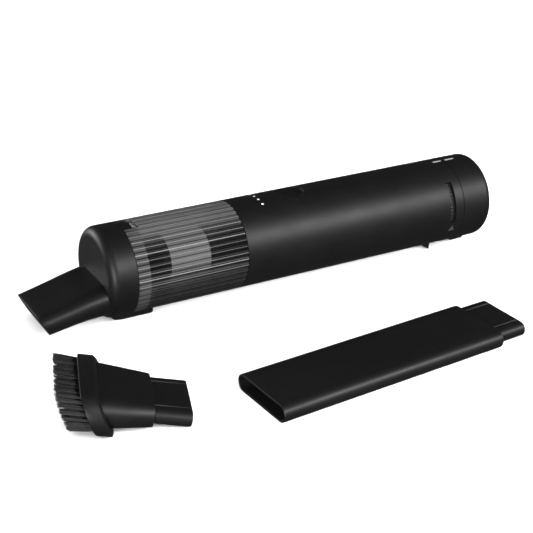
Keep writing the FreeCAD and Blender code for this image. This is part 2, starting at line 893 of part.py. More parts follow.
def cell_centre(index):
    angle = math.radians(FULL_TURN / d.cell_count.value * index)
    return d.cell_pitch * math.sin(angle), d.cell_pitch * -math.cos(angle)


def cell_rods(radius, start, end):
    rods = []
    for index in range(int(d.cell_count.value)):
        y, z = cell_centre(index)
        rods.append(rod(radius, start, end, ALONG_X, y=y, z=z))
    return rods


def battery_cells():
    cell_end = d.cell_start + d.cell_length
    return node("battery_cells", group(*cell_rods(d.cell_radius, d.cell_start, cell_end)))


def battery_holders():
    """Two plates that hold the cells in a triangle and let the air past."""
    cell_end = d.cell_start + d.cell_length
    plates = []
    for start in (d.cell_start + d.holder_inset, cell_end - d.holder_inset - d.holder_thickness):
        end = start + d.holder_thickness
        bores = cell_rods(d.cell_radius + d.fit_gap, start - d.overrun, end + d.overrun)
        vents = polar(d.cell_count.value,
                      lambda: rod(d.air_hole, start - d.overrun, end + d.overrun, ALONG_X, z=d.air_pitch))
        plates.append(cut(rod(d.holder_radius, start, end, ALONG_X), *bores, *vents))
    return node("battery_holders", group(*plates))


def battery_leads():
    """Two short leads from the control board back to the cells."""
    leads = [rod(d.lead_radius, d.board_x + d.board_length - d.lead_lap, d.cell_start + d.holder_inset,
                 ALONG_X, y=d.lead_spread * side, z=d.lead_height) for side in (-1, 1)]
    return node("battery_leads", group(*leads))


def pack_board():
    return node("pack_board", rod(d.pack_board_radius, d.pack_board_start,
                                  d.pack_board_start + d.pack_board_thickness, ALONG_X))


# ---- shell, button and tail --------------------------------------------------------------------

def window(side):
    """An arc-shaped cutter for one exhaust slot; side is +1 on the -Y side."""
    sector = doc.addObject("Part::Cylinder", "sector")
    bind(sector, "Radius", d.body_radius + d.overrun)
    bind(sector, "Height", d.exhaust_end - d.exhaust_start)
    bind(sector, "Angle", d.exhaust_sweep)
    first = d.exhaust_first if side > 0 else -d.exhaust_first - d.exhaust_sweep
    place(sector, d.exhaust_start, ZERO, ZERO)
    half_turn = Rotation(Vector(0, 0, 1), FULL_TURN / 2)
    sector.Placement.Rotation = Rotation(Vector(1, 0, 0), first.value) * ALONG_X * half_turn
    core = rod(inner_radius - d.overrun, d.exhaust_start - d.overrun, d.exhaust_end + d.overrun, ALONG_X)
    return cut(sector, core)


def body_shell():
    tube = revolved([(d.shell_start, inner_radius), (d.shell_start, d.body_radius),
                     (d.shell_end, d.body_radius), (d.shell_end, inner_radius)])
    button_hole = rod(d.button_hole, ZERO, d.body_radius + d.overrun, ALONG_Z, x=d.button_x)
    light_holes = [around(rod(d.light_radius + d.fit_gap, d.light_low, d.body_radius + d.overrun,
                              ALONG_Z, x=d.light_x), angle)
                   for angle in light_angles()]
    port_hole = block(d.port_x - d.port_hole_long, d.port_x + d.port_hole_long, -d.port_hole_wide,
                      d.port_hole_wide, -d.body_radius - d.overrun, -d.port_high)
    return node("body_shell", cut(tube, button_hole, *light_holes, port_hole, window(1), window(-1)))


def power_button():
    """Round key with a finger dish, kept in by a flange under the shell."""
    stem = rod(d.button_radius, d.button_low, d.button_top, ALONG_Z, x=d.button_x)
    flange = rod(d.button_flange, d.button_low, d.button_flange_top, ALONG_Z, x=d.button_x)
    ball = doc.addObject("Part::Sphere", "dish")
    bind(ball, "Radius", d.dish_ball)
    place(ball, d.button_x, ZERO, d.button_top - d.dish_depth + d.dish_ball)
    return node("power_button", cut(fuse(stem, flange), ball))


def button_gasket():
    return node("button_gasket", cut(rod(d.gasket_outer, d.gasket_low, d.gasket_top, ALONG_Z, x=d.button_x),
                                     rod(d.gasket_inner, ZERO, d.body_radius, ALONG_Z, x=d.button_x)))


def charging_port():
    skin = d.port_skin
    case = block(d.port_x - d.port_half_long, d.port_x + d.port_half_long,
                 -d.port_half_wide, d.port_half_wide, -d.port_low, -d.port_high)
    mouth = block(d.port_x - d.port_half_long + skin, d.port_x + d.port_half_long - skin,
                  -d.port_half_wide + skin, d.port_half_wide - skin,
                  -d.port_low - d.overrun, -d.port_high - skin)
    return node("charging_port", cut(case, mouth))


def port_board():
    return node("port_board", block(d.port_x - d.port_board_half_long, d.port_x + d.port_board_half_long,
                                    -d.port_board_half_wide, d.port_board_half_wide,
                                    -d.port_high, -d.port_high + d.port_board_thickness))


def port_cover():
    """Rubber flap that follows the shell, with a plug that goes into the port."""
    inside = d.body_radius + d.cover_gap
    skin = ring(inside + d.cover_skin, inside, d.cover_front, d.cover_back)
    strip = block(d.cover_front, d.cover_back, -d.cover_half, d.cover_half, -inside * 2, -inside / 2)
    plug = block(d.port_x - d.plug_half_long, d.port_x + d.plug_half_long,
                 -d.plug_half_wide, d.plug_half_wide, -inside - d.cover_skin / 2, -d.plug_top)
    return node("port_cover", fuse(common(skin, strip), plug))


def bulkhead():
    flat = ring(d.flange_radius, d.bulkhead_bore, d.bulkhead_start, d.bulkhead_end)
    front, back = d.bulkhead_start - d.overrun, d.bulkhead_end + d.overrun
    bores = polar(d.screw_count.value,
                  lambda: rod(d.screw_radius, front, back, ALONG_X, z=d.screw_pitch))
    vents = polar(d.screw_count.value,
                  lambda: rod(d.air_hole, front, back, ALONG_X, z=d.air_pitch),
                  start=FULL_TURN / d.screw_count.value / 2)
    return node("bulkhead", cut(flat, *bores, *vents))


def bulkhead_screws():
    def screw():
        shank = rod(d.screw_radius, d.bulkhead_end - d.screw_length,
                    d.bulkhead_end + d.screw_head_height / 2, ALONG_X, z=d.screw_pitch)
        head = rod(d.screw_head, d.bulkhead_end, d.bulkhead_end + d.screw_head_height,
                   ALONG_X, z=d.screw_pitch)
        return fuse(shank, head)

    return node("bulkhead_screws", group(*polar(d.screw_count.value, screw)))


def exhaust_foam():
    return node("exhaust_foam", ring(d.foam_outer, d.foam_inner, d.bulkhead_end, d.foam_end))


def exhaust_screen():
    """Thin slotted sleeve behind the exhaust windows."""
    sleeve = ring(d.screen_outer, d.screen_inner, d.screen_start, d.screen_end)
    inset = d.overrun / 2
    slits = []
    for side in (-1, 1):
        for index in range(int(d.slit_count.value)):
            angle = side * (d.exhaust_first.value + d.slit_step.value * (index + 0.5))
            slit = block(d.exhaust_start + inset, d.exhaust_end - inset, -d.slit_half, d.slit_half,
                         d.screen_inner - d.overrun, d.body_radius)
            slits.append(around(slit, angle))
    return node("exhaust_screen", cut(sleeve, *slits))


def rear_foot():
    """Wedge under the tail of the shell, the vacuum's rear foot."""
    wedge = plate([(d.foot_front, -d.foot_root), (d.foot_front, -d.foot_shoulder),
                   (d.foot_toe, -d.axis_height), (d.foot_back, -d.axis_height),
                   (d.foot_back, -d.foot_root)], d.foot_half)
    return node("rear_foot", cut(wedge, rod(d.body_radius, d.cover_front, d.tail_end, ALONG_X)))


def tail_cap():
    inner = inner_radius
    cup = revolved([(d.tail_end, ZERO), (d.tail_end, d.body_radius), (d.tail_start, d.body_radius),
                    (d.tail_start, d.sleeve_outer), (d.sleeve_start, d.sleeve_outer),
                    (d.sleeve_start, d.sleeve_inner), (d.tail_end - d.wall, d.sleeve_inner),
                    (d.tail_end - d.wall, ZERO)])
    rounded(cup, circle_at(d.tail_end, d.body_radius), d.tail_edge)
    pad = plate([(d.pad_start, -inner), (d.pad_start, -d.pad_low + d.pad_edge),
                 (d.pad_start + d.pad_edge, -d.pad_low), (d.pad_end - d.pad_edge * 2, -d.pad_low),
                 (d.pad_end, -d.body_radius + d.overrun), (d.pad_end - d.overrun, -inner)], d.pad_half)
    return node("tail_cap", fuse(cup, pad))


def mark_bar(start, end):
    return block(start, end, -d.mark_half, d.mark_half, d.body_radius, d.body_radius + d.mark_thickness)


def shell_marks():
    """The printed bar on the shell and the arrow head that points along the exhaust slot."""
    top, flat = d.body_radius + d.mark_thickness, d.body_radius
    body = new_body(on_axis=False)
    sketch = new_sketch(body, "XY_Plane", flat)
    half = d.arrow_length / 2
    polygon(sketch, [(d.arrow_x - d.arrow_half, -half), (d.arrow_x + d.arrow_half, -half),
                     (d.arrow_x, half)])
    pad = body.newObject("PartDesign::Pad", "pad")
    pad.Profile = sketch
    bind(pad, "Length", top - flat)
    bind(body, "Placement.Base.z", d.axis_height)
    arrow = around(body, d.arrow_angle.value)
    return node("shell_marks", group(mark_bar(d.shell_mark_start, d.shell_mark_end), arrow))


def cap_mark():
    return node("cap_mark", mark_bar(d.cap_mark_start, d.cap_mark_end))


# ---- loose tools -------------------------------------------------------------------------------

def tool_placement(x, y, yaw, height, pitch=0.0):
    """Where a tool lies: its own X runs from its working end towards its neck."""
    turn = Rotation(Vector(0, 0, 1), yaw.value) * Rotation(Vector(0, 1, 0), pitch)
    return Placement(Vector(x.value, y.value, height), turn)


def neck_grooves(start):
    """Fine grooves along both flats of a tool's neck, in the tool's own frame."""
    grooves = []
    for side in (-1, 1):
        for face in (-1, 1):
            outer, inner = d.neck_radius + d.overrun, d.neck_radius - d.groove_depth
            low, high = (inner, outer) if face > 0 else (-outer, -inner)
            middle = d.groove_spread * side
            groove = block(start + d.overrun, start + d.neck_length + d.overrun,
                           middle - d.groove_half, middle + d.groove_half, low, high)
            bind(groove, "Placement.Base.z", low)
            grooves.append(groove)
    return grooves


def crevice_tool():
    """Long flat tube, open at its mouth, with a stepped-down neck to push into the nozzle."""
    body_end = d.crevice_length
    neck_end = body_end + d.neck_length
    inside_half, inside_radius = d.crevice_half - d.crevice_wall, d.crevice_radius - d.crevice_wall
    throat_half, throat_radius = d.neck_half - d.neck_wall, d.neck_radius - d.neck_wall
    tube = oval_tube([(ZERO, d.crevice_half, d.crevice_radius, ZERO),
                      (body_end, d.crevice_half, d.crevice_radius, ZERO)])
    neck = oval_tube([(body_end - d.overrun, d.neck_half, d.neck_radius, ZERO),
                      (neck_end, d.neck_half, d.neck_radius, ZERO)])
    inside = oval_tube([(-d.overrun, inside_half, inside_radius, ZERO),
                        (body_end - d.neck_shoulder, inside_half, inside_radius, ZERO)])
    throat = oval_tube([(body_end - d.throat_reach, throat_half, throat_radius, ZERO),
                        (neck_end + d.overrun, throat_half, throat_radius, ZERO)])
    whole = cut(fuse(tube, neck), inside, throat, *neck_grooves(body_end))
    return node("crevice_tool", whole,
                tool_placement(d.crevice_x, d.crevice_y, d.crevice_yaw, d.crevice_radius.value))


def leaning_bar(front, back, half, radius):
    """A flat oval bar along the tool's X whose two ends lean with the brush's collar."""
    rise = tangent(d.collar_lean) * d.collar_half
    top = d.collar_half
    bar = oval_tube([(-front - rise, half, radius, ZERO), (-back + rise, half, radius, ZERO)])
    slab = plate([(-front - rise, top), (-back - rise, top), (-back + rise, -top), (-front + rise, -top)],
                 d.collar_half + d.overrun, on_axis=False)
    return common(bar, slab)


def brush_placement():
    """The brush rests on its collar's lower edge and on the end of its neck, so its neck points down."""
    collar_edge = d.collar_back.value - d.collar_radius.value * math.tan(math.radians(d.collar_lean.value))
    drop = d.collar_radius.value - d.neck_radius.value
    pitch = math.atan2(drop, collar_edge + d.neck_length.value)
    height = d.neck_length.value * math.sin(pitch) + d.neck_radius.value * math.cos(pitch)
    return tool_placement(d.brush_x, d.brush_y, d.brush_yaw, height, math.degrees(pitch))


def brush_body():
    """Neck, widening funnel and the slanted oval collar that holds the bristles."""
    skin = d.neck_wall
    neck = oval_tube([(-d.overrun, d.neck_half, d.neck_radius, ZERO),
                      (d.neck_length, d.neck_half, d.neck_radius, ZERO)])
    throat = oval_tube([(-d.throat_reach, d.neck_half - skin, d.neck_radius - skin, ZERO),
                        (d.neck_length + d.overrun, d.neck_half - skin, d.neck_radius - skin, ZERO)])
    wide = [(-d.funnel_length, d.funnel_wide_half, d.funnel_wide_radius, ZERO),
            (ZERO, d.funnel_half, d.funnel_radius, ZERO)]
    collar = leaning_bar(d.collar_front, d.collar_back, d.collar_half, d.collar_radius)
    cavity = leaning_bar(d.collar_front + d.overrun, d.collar_front - d.insert_depth,
                         d.collar_half - d.collar_wall, d.collar_radius - d.collar_wall)
    hollow = oval_tube([(-d.collar_front - d.throat_reach, d.funnel_wide_half - skin * 2,
                         d.funnel_wide_radius - skin * 2, ZERO),
                        (-d.neck_shoulder, d.funnel_half - skin * 2, d.funnel_radius - skin * 2, ZERO)])
    whole = cut(fuse(neck, oval_tube(wide), collar), throat, cavity, hollow, *neck_grooves(ZERO))
    return node("brush_body", whole, brush_placement())


def bristle_insert():
    """The oval ring in the collar that the tufts are set in."""
    gap = d.fit_gap
    outer = leaning_bar(d.collar_front, d.collar_front - d.insert_depth + gap,
                        d.collar_half - d.collar_wall - gap, d.collar_radius - d.collar_wall - gap)
    inner = leaning_bar(d.collar_front + d.overrun, d.collar_front - d.insert_depth - d.overrun,
                        d.collar_half - d.collar_wall - d.tuft_depth,
                        d.collar_radius - d.collar_wall - d.tuft_depth)
    return node("bristle_insert", cut(outer, inner), brush_placement())


def brush_bristles():
    """The ring of bristles, trimmed along the same slant as the collar."""
    inset = d.overrun / 2
    outer = leaning_bar(d.bristle_front, d.collar_front, d.collar_half - d.collar_wall - inset,
                        d.collar_radius - d.collar_wall - inset)
    inner = leaning_bar(d.bristle_front + d.overrun, d.collar_front - d.overrun,
                        d.collar_half - d.collar_wall - d.tuft_depth + inset,
                        d.collar_radius - d.collar_wall - d.tuft_depth + inset)
    return node("brush_bristles", cut(outer, inner), brush_placement())


# ---- assembly ----------------------------------------------------------------------------------

def build():
    for make in (front_cap, suction_nozzle, cap_seal, inlet_flap, flap_clamp, hinge_pin, release_latch,
                 latch_pin, latch_spring, dust_canister, filter_cage, filter_medium, filter_seal,
                 intake_seat, canister_seal, fan_housing, impeller, motor_shaft, diffuser, motor,
                 motor_mount, control_board, tact_switch, indicator_lights, battery_cells,
                 battery_holders, battery_leads, pack_board, body_shell, power_button, button_gasket,
                 charging_port, port_board, port_cover, bulkhead, bulkhead_screws, exhaust_foam,
                 exhaust_screen, rear_foot, tail_cap, shell_marks, cap_mark, crevice_tool,
                 brush_body, bristle_insert, brush_bristles):
        make()
    doc.recompute()


def check():
    """Stop with a plain message if anything in the document failed."""
    for thing in doc.Objects:
        if {"Invalid", "Error"} & set(thing.State):
            raise RuntimeError(f"{thing.Name} ({thing.Label}) is {thing.State}")
    for thing in nodes:
        if thing.Shape.isNull() or not thing.Shape.isValid() or not thing.Shape.Solids:
            raise RuntimeError(f"{thing.Label} has no valid solid")


def export():
    os.makedirs("parts", exist_ok=True)
    for thing in nodes:
        thing.Shape.exportStep(f"parts/{thing.Label}.step")
        box = thing.Shape.BoundBox
        print(f"{thing.Label}: {len(thing.Shape.Solids)} solids, {thing.Shape.Volume:.0f} mm3, "
              f"x {box.XMin:.1f} {box.XMax:.1f}, y {box.YMin:.1f} {box.YMax:.1f}, "
              f"z {box.ZMin:.1f} {box.ZMax:.1f}")


build()
check()
export()
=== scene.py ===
"""Looks of the handheld vacuum and its two tools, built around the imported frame."""
import json
import math
import random

import bmesh
import bpy
from mathutils import Matrix, Vector


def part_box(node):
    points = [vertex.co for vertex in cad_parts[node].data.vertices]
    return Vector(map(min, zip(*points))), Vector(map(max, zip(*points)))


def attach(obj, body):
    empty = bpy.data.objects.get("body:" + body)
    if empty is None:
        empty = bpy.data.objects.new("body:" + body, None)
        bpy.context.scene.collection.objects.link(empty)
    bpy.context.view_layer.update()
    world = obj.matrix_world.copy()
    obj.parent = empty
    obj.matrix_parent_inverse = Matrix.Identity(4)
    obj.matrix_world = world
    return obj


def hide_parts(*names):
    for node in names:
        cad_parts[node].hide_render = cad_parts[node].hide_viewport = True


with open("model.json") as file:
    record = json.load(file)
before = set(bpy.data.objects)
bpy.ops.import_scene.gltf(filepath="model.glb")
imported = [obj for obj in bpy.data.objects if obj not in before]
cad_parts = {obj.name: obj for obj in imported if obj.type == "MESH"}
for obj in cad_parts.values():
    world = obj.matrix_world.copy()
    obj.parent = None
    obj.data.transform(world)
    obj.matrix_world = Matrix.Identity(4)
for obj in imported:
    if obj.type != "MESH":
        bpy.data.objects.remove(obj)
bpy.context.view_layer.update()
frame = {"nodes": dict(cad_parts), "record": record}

nodes = frame["nodes"]
MM = 0.001
TURN = 2 * math.pi

# ---- the barrel, placed by the frame -----------------------------------------------------------
shell_low, shell_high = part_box("body_shell")
AXIS_Z = (shell_low.z + shell_high.z) / 2
BARREL_RADIUS = (shell_high.z - shell_low.z) / 2
WALL = 2.4 * MM
FLUTES = 44


# ---- materials ---------------------------------------------------------------------------------
# A Mix node's colour sockets share their names with its other types', so they are taken by number.
MIX_FIRST, MIX_SECOND, MIX_RESULT = 6, 7, 2
COOL = (1.0, 1.0, 1.03)
WARM = (1.0, 0.995, 0.98)


class Shader:
    """A node material, with short calls for the nodes that its recipe needs."""

    def __init__(self, name):
        self.material = bpy.data.materials.new(name)
        self.material.use_nodes = True
        self.tree = self.material.node_tree
        self.surface = self.tree.nodes["Principled BSDF"]
        self.surface.inputs["Specular IOR Level"].default_value = 0.28
        self.place = self.tree.nodes.new("ShaderNodeTexCoord").outputs["Object"]

    def set(self, **values):
        """Set uniform values of the surface, with _ for each space in a socket's name."""
        for key, value in values.items():
            self.surface.inputs[key.replace("_", " ")].default_value = value
        return self

    def feed(self, socket, value):
        """Give a socket a plain value, or link it to another node's output."""
        if isinstance(value, (float, tuple)):
            socket.default_value = value
        else:
            self.tree.links.new(value, socket)

    def noise(self, scale, detail=3.0, stretch=None):
        """Noise at a scale per metre, drawn out along each axis whose stretch factor is under 1."""
        texture = self.tree.nodes.new("ShaderNodeTexNoise")
        texture.inputs["Scale"].default_value = scale
        texture.inputs["Detail"].default_value = detail
        source = self.place
        if stretch is not None:
            mapping = self.tree.nodes.new("ShaderNodeMapping")
            mapping.inputs["Scale"].default_value = stretch
            self.tree.links.new(self.place, mapping.inputs["Vector"])
            source = mapping.outputs["Vector"]
        self.tree.links.new(source, texture.inputs["Vector"])
        return texture.outputs["Fac"]

    def math(self, operation, first, second=0.0):
        node = self.tree.nodes.new("ShaderNodeMath")
        node.operation = operation
        self.feed(node.inputs[0], first)
        self.feed(node.inputs[1], second)
        return node.outputs["Value"]

    def coordinate(self, axis):
        """X, Y or Z of this point in the object's own space, in metres."""
        split = self.tree.nodes.new("ShaderNodeSeparateXYZ")
        self.tree.links.new(self.place, split.inputs["Vector"])
        return split.outputs[axis]

    def flute_phase(self):
        """How many flutes lie between the top of the barrel and this point."""
        height = self.math("SUBTRACT", self.coordinate("Z"), AXIS_Z)
        nearer = self.math("MULTIPLY", self.coordinate("Y"), -1.0)
        angle = self.math("ARCTAN2", nearer, height)
        return self.math("ADD", self.math("MULTIPLY", angle, FLUTES / TURN), float(FLUTES))

    def level(self):
        """0 at the bottom of the barrel and 1 at its top."""
        height = self.math("SUBTRACT", self.coordinate("Z"), AXIS_Z - BARREL_RADIUS)
        return self.math("DIVIDE", height, 2 * BARREL_RADIUS)

    def across_flute(self, phase):
        """0 at one joint between flutes, 0.5 on the crest and 1 at the next joint."""
        return self.math("FRACT", phase)

    def per_flute(self, phase):
        """A number from 0 to 1 of each flute's own."""
        node = self.tree.nodes.new("ShaderNodeTexWhiteNoise")
        node.noise_dimensions = "1D"
        self.tree.links.new(self.math("FLOOR", phase), node.inputs["W"])
        return node.outputs["Value"]

    def cells(self, scale):
        """Distance to the nearest of many scattered points, at a scale per metre."""
        texture = self.tree.nodes.new("ShaderNodeTexVoronoi")
        texture.inputs["Scale"].default_value = scale
        self.tree.links.new(self.place, texture.inputs["Vector"])
        return texture.outputs["Distance"]

    def edge_wear(self, width):
        """1 on edges and 0 on flats, from how far a bevelled normal turns away."""
        bevel = self.tree.nodes.new("ShaderNodeBevel")
        bevel.samples = 4
        bevel.inputs["Radius"].default_value = width
        geometry = self.tree.nodes.new("ShaderNodeNewGeometry")
        dot = self.tree.nodes.new("ShaderNodeVectorMath")
        dot.operation = "DOT_PRODUCT"
        self.tree.links.new(bevel.outputs["Normal"], dot.inputs[0])
        self.tree.links.new(geometry.outputs["Normal"], dot.inputs[1])
        return self.ramp(dot.outputs["Value"], (0.80, 1.0), (0.98, 0.0))

    def ramp(self, value, *stops):
        """Map a value through stops of (position, grey or colour)."""
        node = self.tree.nodes.new("ShaderNodeValToRGB")
        elements = node.color_ramp.elements
        while len(elements) < len(stops):
            elements.new(0.5)
        for element, (position, shade) in zip(elements, stops):
            element.position = position
            element.color = shade if isinstance(shade, tuple) else (shade, shade, shade, 1.0)
        self.tree.links.new(value, node.inputs["Fac"])
        return node.outputs["Color"]

    def blend(self, factor, first, second):
        """Mix two colours or colour outputs by a factor output."""
        node = self.tree.nodes.new("ShaderNodeMix")
        node.data_type = "RGBA"
        self.feed(node.inputs["Factor"], factor)
        self.feed(node.inputs[MIX_FIRST], first)
        self.feed(node.inputs[MIX_SECOND], second)
        return node.outputs[MIX_RESULT]

    def to(self, output, socket):
        """Drive one of the surface's sockets."""
        self.tree.links.new(output, self.surface.inputs[socket])

    def bump(self, height, strength, distance):
        """Raise the surface by a texture."""
        node = self.tree.nodes.new("ShaderNodeBump")
        node.inputs["Strength"].default_value = strength
        node.inputs["Distance"].default_value = distance
        self.tree.links.new(height, node.inputs["Height"])
        self.to(node.outputs["Normal"], "Normal")


def tone(level, tint=(1.0, 1.0, 1.0)):
    """An opaque grey of this brightness, tinted."""
    return (level * tint[0], level * tint[1], level * tint[2], 1.0)


def moulded(name, level, rough):
    """Moulded plastic: fine spark-eroded grain, faint cloudiness and slightly polished edges."""
    shader = Shader(name)
    cloud = shader.noise(38.0, 4.0)
    colour = shader.ramp(cloud, (0.30, tone(level * 0.86, COOL)), (0.72, tone(level * 1.14, COOL)))
    worn = shader.blend(shader.edge_wear(0.5 * MM), colour, tone(level * 2.4, COOL))
    shader.to(worn, "Base Color")
    uneven = shader.noise(90.0, 5.0)
    shader.to(shader.ramp(uneven, (0.25, rough - 0.035), (0.8, rough + 0.035)), "Roughness")
    shader.bump(shader.noise(5200.0, 2.0), 0.05, 0.05 * MM)
    return shader.material


def metal(name, level, rough, stretch):
    """Drawn or turned metal, with fine lines along each axis whose stretch factor is under 1."""
    shader = Shader(name).set(Metallic=1.0)
    lines = shader.noise(1600.0, 3.0, stretch)
    shader.to(shader.ramp(lines, (0.3, tone(level * 0.82)), (0.7, tone(level))), "Base Color")
    shader.to(shader.ramp(lines, (0.3, rough - 0.06), (0.7, rough + 0.08)), "Roughness")
    shader.bump(lines, 0.08, 0.02 * MM)
    return shader.material


def rubber(name, level):
    """Soft rubber with a little dust on it."""
    shader = Shader(name).set(Sheen_Weight=0.15, Specular_IOR_Level=0.35)
    dust = shader.noise(240.0, 6.0)
    shader.to(shader.ramp(dust, (0.35, tone(level)), (0.8, tone(level * 1.9))), "Base Color")
    shader.to(shader.ramp(dust, (0.3, 0.62), (0.8, 0.8)), "Roughness")
    shader.bump(shader.noise(3000.0, 3.0), 0.15, 0.05 * MM)
    return shader.material


def foam(name, level):
    """Open-celled foam: pores painted dark as shade, between paler threads."""
    shader = Shader(name).set(Roughness=0.95, Specular_IOR_Level=0.2)
    pores = shader.cells(900.0)
    shader.to(shader.ramp(pores, (0.1, tone(level * 0.25)), (0.6, tone(level * 1.4))), "Base Color")
    shader.bump(pores, 0.9, 0.6 * MM)
    return shader.material


def fibre(name, level):
    """Pressed filter fibre: matt, mottled, with short matted threads. It glows a little, to make up for
    the lamp light that the clear tube round it takes away."""
    shader = Shader(name).set(Sheen_Weight=0.3, Specular_IOR_Level=0.2, Emission_Strength=0.85)
    threads = shader.noise(2600.0, 6.0, (0.2, 1.0, 1.0))
    mottle = shader.noise(160.0, 4.0)
    shade = shader.ramp(mottle, (0.3, tone(level * 0.9, WARM)), (0.7, tone(level)))
    matted = shader.blend(shader.ramp(threads, (0.4, 0.0), (0.75, 0.35)), shade, tone(level * 0.7))
    shader.to(matted, "Base Color")
    shader.to(matted, "Emission Color")
    shader.to(shader.ramp(threads, (0.3, 0.8), (0.7, 0.95)), "Roughness")
    shader.bump(threads, 0.35, 0.15 * MM)
    return shader.material


# The clear tube's stops. Those across a flute run from one joint between flutes to the next, and those
# up the barrel from its bottom, at 0, to its top, at 1.
# A pale streak painted on each crest, as a highlight.
CREST_HIGHLIGHT = ((0.17, 0.0), (0.22, 0.45), (0.27, 0.0), (0.41, 0.0), (0.47, 1.0), (0.53, 1.0), (0.59, 0.0))
# Painted shade in the joints between flutes.
JOINT_SHADE = ((0.0, 1.0), (0.14, 0.0), (0.86, 0.0), (1.0, 1.0))
# The painted highlight fades out low on the barrel.
HIGHLIGHT_FADING = ((0.34, 0.14), (0.50, 1.0))
# Opacity by height: nearly opaque and dark low down, as painted shade; clear in the middle; nearly opaque
# near the top, where it is painted light grey.
SHADED_OPACITY_BY_HEIGHT = ((0.52, 0.95), (0.65, 0.28), (0.77, 0.32), (0.85, 0.60), (0.98, 0.90))
# Where the top is painted a light grey, as painted light.
TOP_PAINTED_LIGHT = ((0.86, 0.0), (0.96, 1.0))
LAP_START = 0.5 * MM
LAP_RANGE = 16.0 * MM
LAP_EDGE = ((0.49, 1.0), (0.52, 0.0))


def smoke_clear(name):
    """The outside of the smoke-tinted tube: a pale streak painted along each crest as a highlight, brighter
    on some flutes than others and fading out low down, painted shade in the joints between flutes, a
    painted light grey on top, hazy where it laps the cap, and nearly opaque and dark below, as painted
    shade."""
    shader = Shader(name).set(IOR=1.5, Specular_IOR_Level=0.12)
    phase = shader.flute_phase()
    across = shader.across_flute(phase)
    level = shader.level()
    # Painted shade in the joints between flutes.
    joint = shader.ramp(across, *JOINT_SHADE)
    # Some crests' painted highlights are brighter than others.
    uneven = shader.ramp(shader.per_flute(phase), (0.0, 0.25), (1.0, 1.0))
    crest = shader.blend(uneven, tone(0.0), shader.ramp(across, *CREST_HIGHLIGHT))
    crest_highlight = shader.blend(crest, tone(0.0), shader.ramp(level, *HIGHLIGHT_FADING))
    along = shader.math("DIVIDE", shader.math("SUBTRACT", shader.coordinate("X"), LAP_START), LAP_RANGE)
    lapped = shader.ramp(along, *LAP_EDGE)

    # Nearly opaque and dark low down as painted shade, and opaque near the top under the painted light
    # grey.
    shaded_opacity = shader.blend(lapped, shader.ramp(level, *SHADED_OPACITY_BY_HEIGHT), tone(0.86))
    shader.to(shader.blend(crest_highlight, shader.blend(joint, shaded_opacity, tone(0.93)), tone(0.85)), "Alpha")

    smoke = shader.ramp(shader.noise(60.0, 4.0), (0.3, tone(0.010)), (0.7, tone(0.018)))
    # The top is painted a light grey, as painted light.
    painted_top_light = shader.blend(shader.ramp(level, *TOP_PAINTED_LIGHT), smoke, tone(0.11))
    joint_shaded = shader.blend(joint, shader.blend(lapped, painted_top_light, tone(0.065)), tone(0.008))
    shader.to(shader.blend(crest_highlight, joint_shaded, tone(0.40)), "Base Color")
    scuffs = shader.noise(900.0, 2.0, (0.06, 1.0, 1.0))
    shader.to(shader.ramp(scuffs, (0.5, 0.36), (0.8, 0.46)), "Roughness")
    return shader.material


def smoke_inside(name):
    """The tube's inner face: clear from outside, and where its far side shows, dark and nearly opaque as
    painted shade, with faint paler streaks painted along the crests as highlights.
    """
    shader = Shader(name).set(Specular_IOR_Level=0.05)
    geometry = shader.tree.nodes.new("ShaderNodeNewGeometry")
    shader.to(shader.ramp(geometry.outputs["Backfacing"], (0.0, 0.84), (1.0, 0.0)), "Alpha")
    across = shader.across_flute(shader.flute_phase())
    # Faint paler streaks painted on the crests as highlights, over a dark painted shade.
    lines = shader.ramp(across, (0.35, tone(0.010)), (0.5, tone(0.05)), (0.65, tone(0.010)))
    shader.to(lines, "Base Color")
    shader.to(shader.ramp(shader.noise(300.0), (0.3, 0.5), (0.7, 0.65)), "Roughness")
    return shader.material


def frosted(name, level, rough, clearness):
    """The same clear plastic where it is thick or etched: paler, hazy and speckled."""
    shader = Shader(name).set(Transmission_Weight=clearness, IOR=1.46)
    speck = shader.noise(1500.0, 4.0)
    shader.to(shader.ramp(speck, (0.3, tone(level * 0.7)), (0.75, tone(level))), "Base Color")
    shader.to(shader.ramp(speck, (0.3, rough - 0.08), (0.7, rough + 0.08)), "Roughness")
    shader.bump(speck, 0.3, 0.1 * MM)
    return shader.material


def circuit(name):
    """Green solder mask with paler tracks showing through."""
    shader = Shader(name).set(Coat_Weight=0.3)
    tracks = shader.cells(520.0)
    mask, copper = (0.012, 0.075, 0.038, 1.0), (0.02, 0.13, 0.06, 1.0)
    shader.to(shader.ramp(tracks, (0.28, mask), (0.34, copper)), "Base Color")
    shader.to(shader.ramp(shader.noise(300.0), (0.3, 0.28), (0.7, 0.42)), "Roughness")
    shader.bump(tracks, 0.2, 0.04 * MM)
    return shader.material


def coloured(name, low, high, rough):
    """Film or wire in a colour of its own, lightly mottled."""
    shader = Shader(name)
    mottle = shader.noise(120.0, 5.0)
    shader.to(shader.ramp(mottle, (0.3, low), (0.7, high)), "Base Color")
    shader.to(shader.ramp(mottle, (0.3, rough - 0.05), (0.7, rough + 0.05)), "Roughness")
    shader.bump(shader.noise(2500.0, 2.0), 0.06, 0.03 * MM)
    return shader.material


def ink(name):
    """White print, painted darker low on the barrel as shade."""
    shader = Shader(name)
    speck = shader.ramp(shader.noise(1800.0, 5.0), (0.3, tone(0.62)), (0.7, tone(0.78)))
    # Painted shade: the print darkens towards the bottom of the barrel.
    lower_shade = shader.ramp(shader.level(), (0.5, 1.0), (0.8, 0.0))
    shader.to(shader.blend(lower_shade, speck, tone(0.06)), "Base Color")
    shader.to(shader.ramp(shader.noise(1200.0), (0.3, 0.5), (0.7, 0.62)), "Roughness")
    shader.bump(shader.noise(2500.0, 2.0), 0.06, 0.03 * MM)
    return shader.material


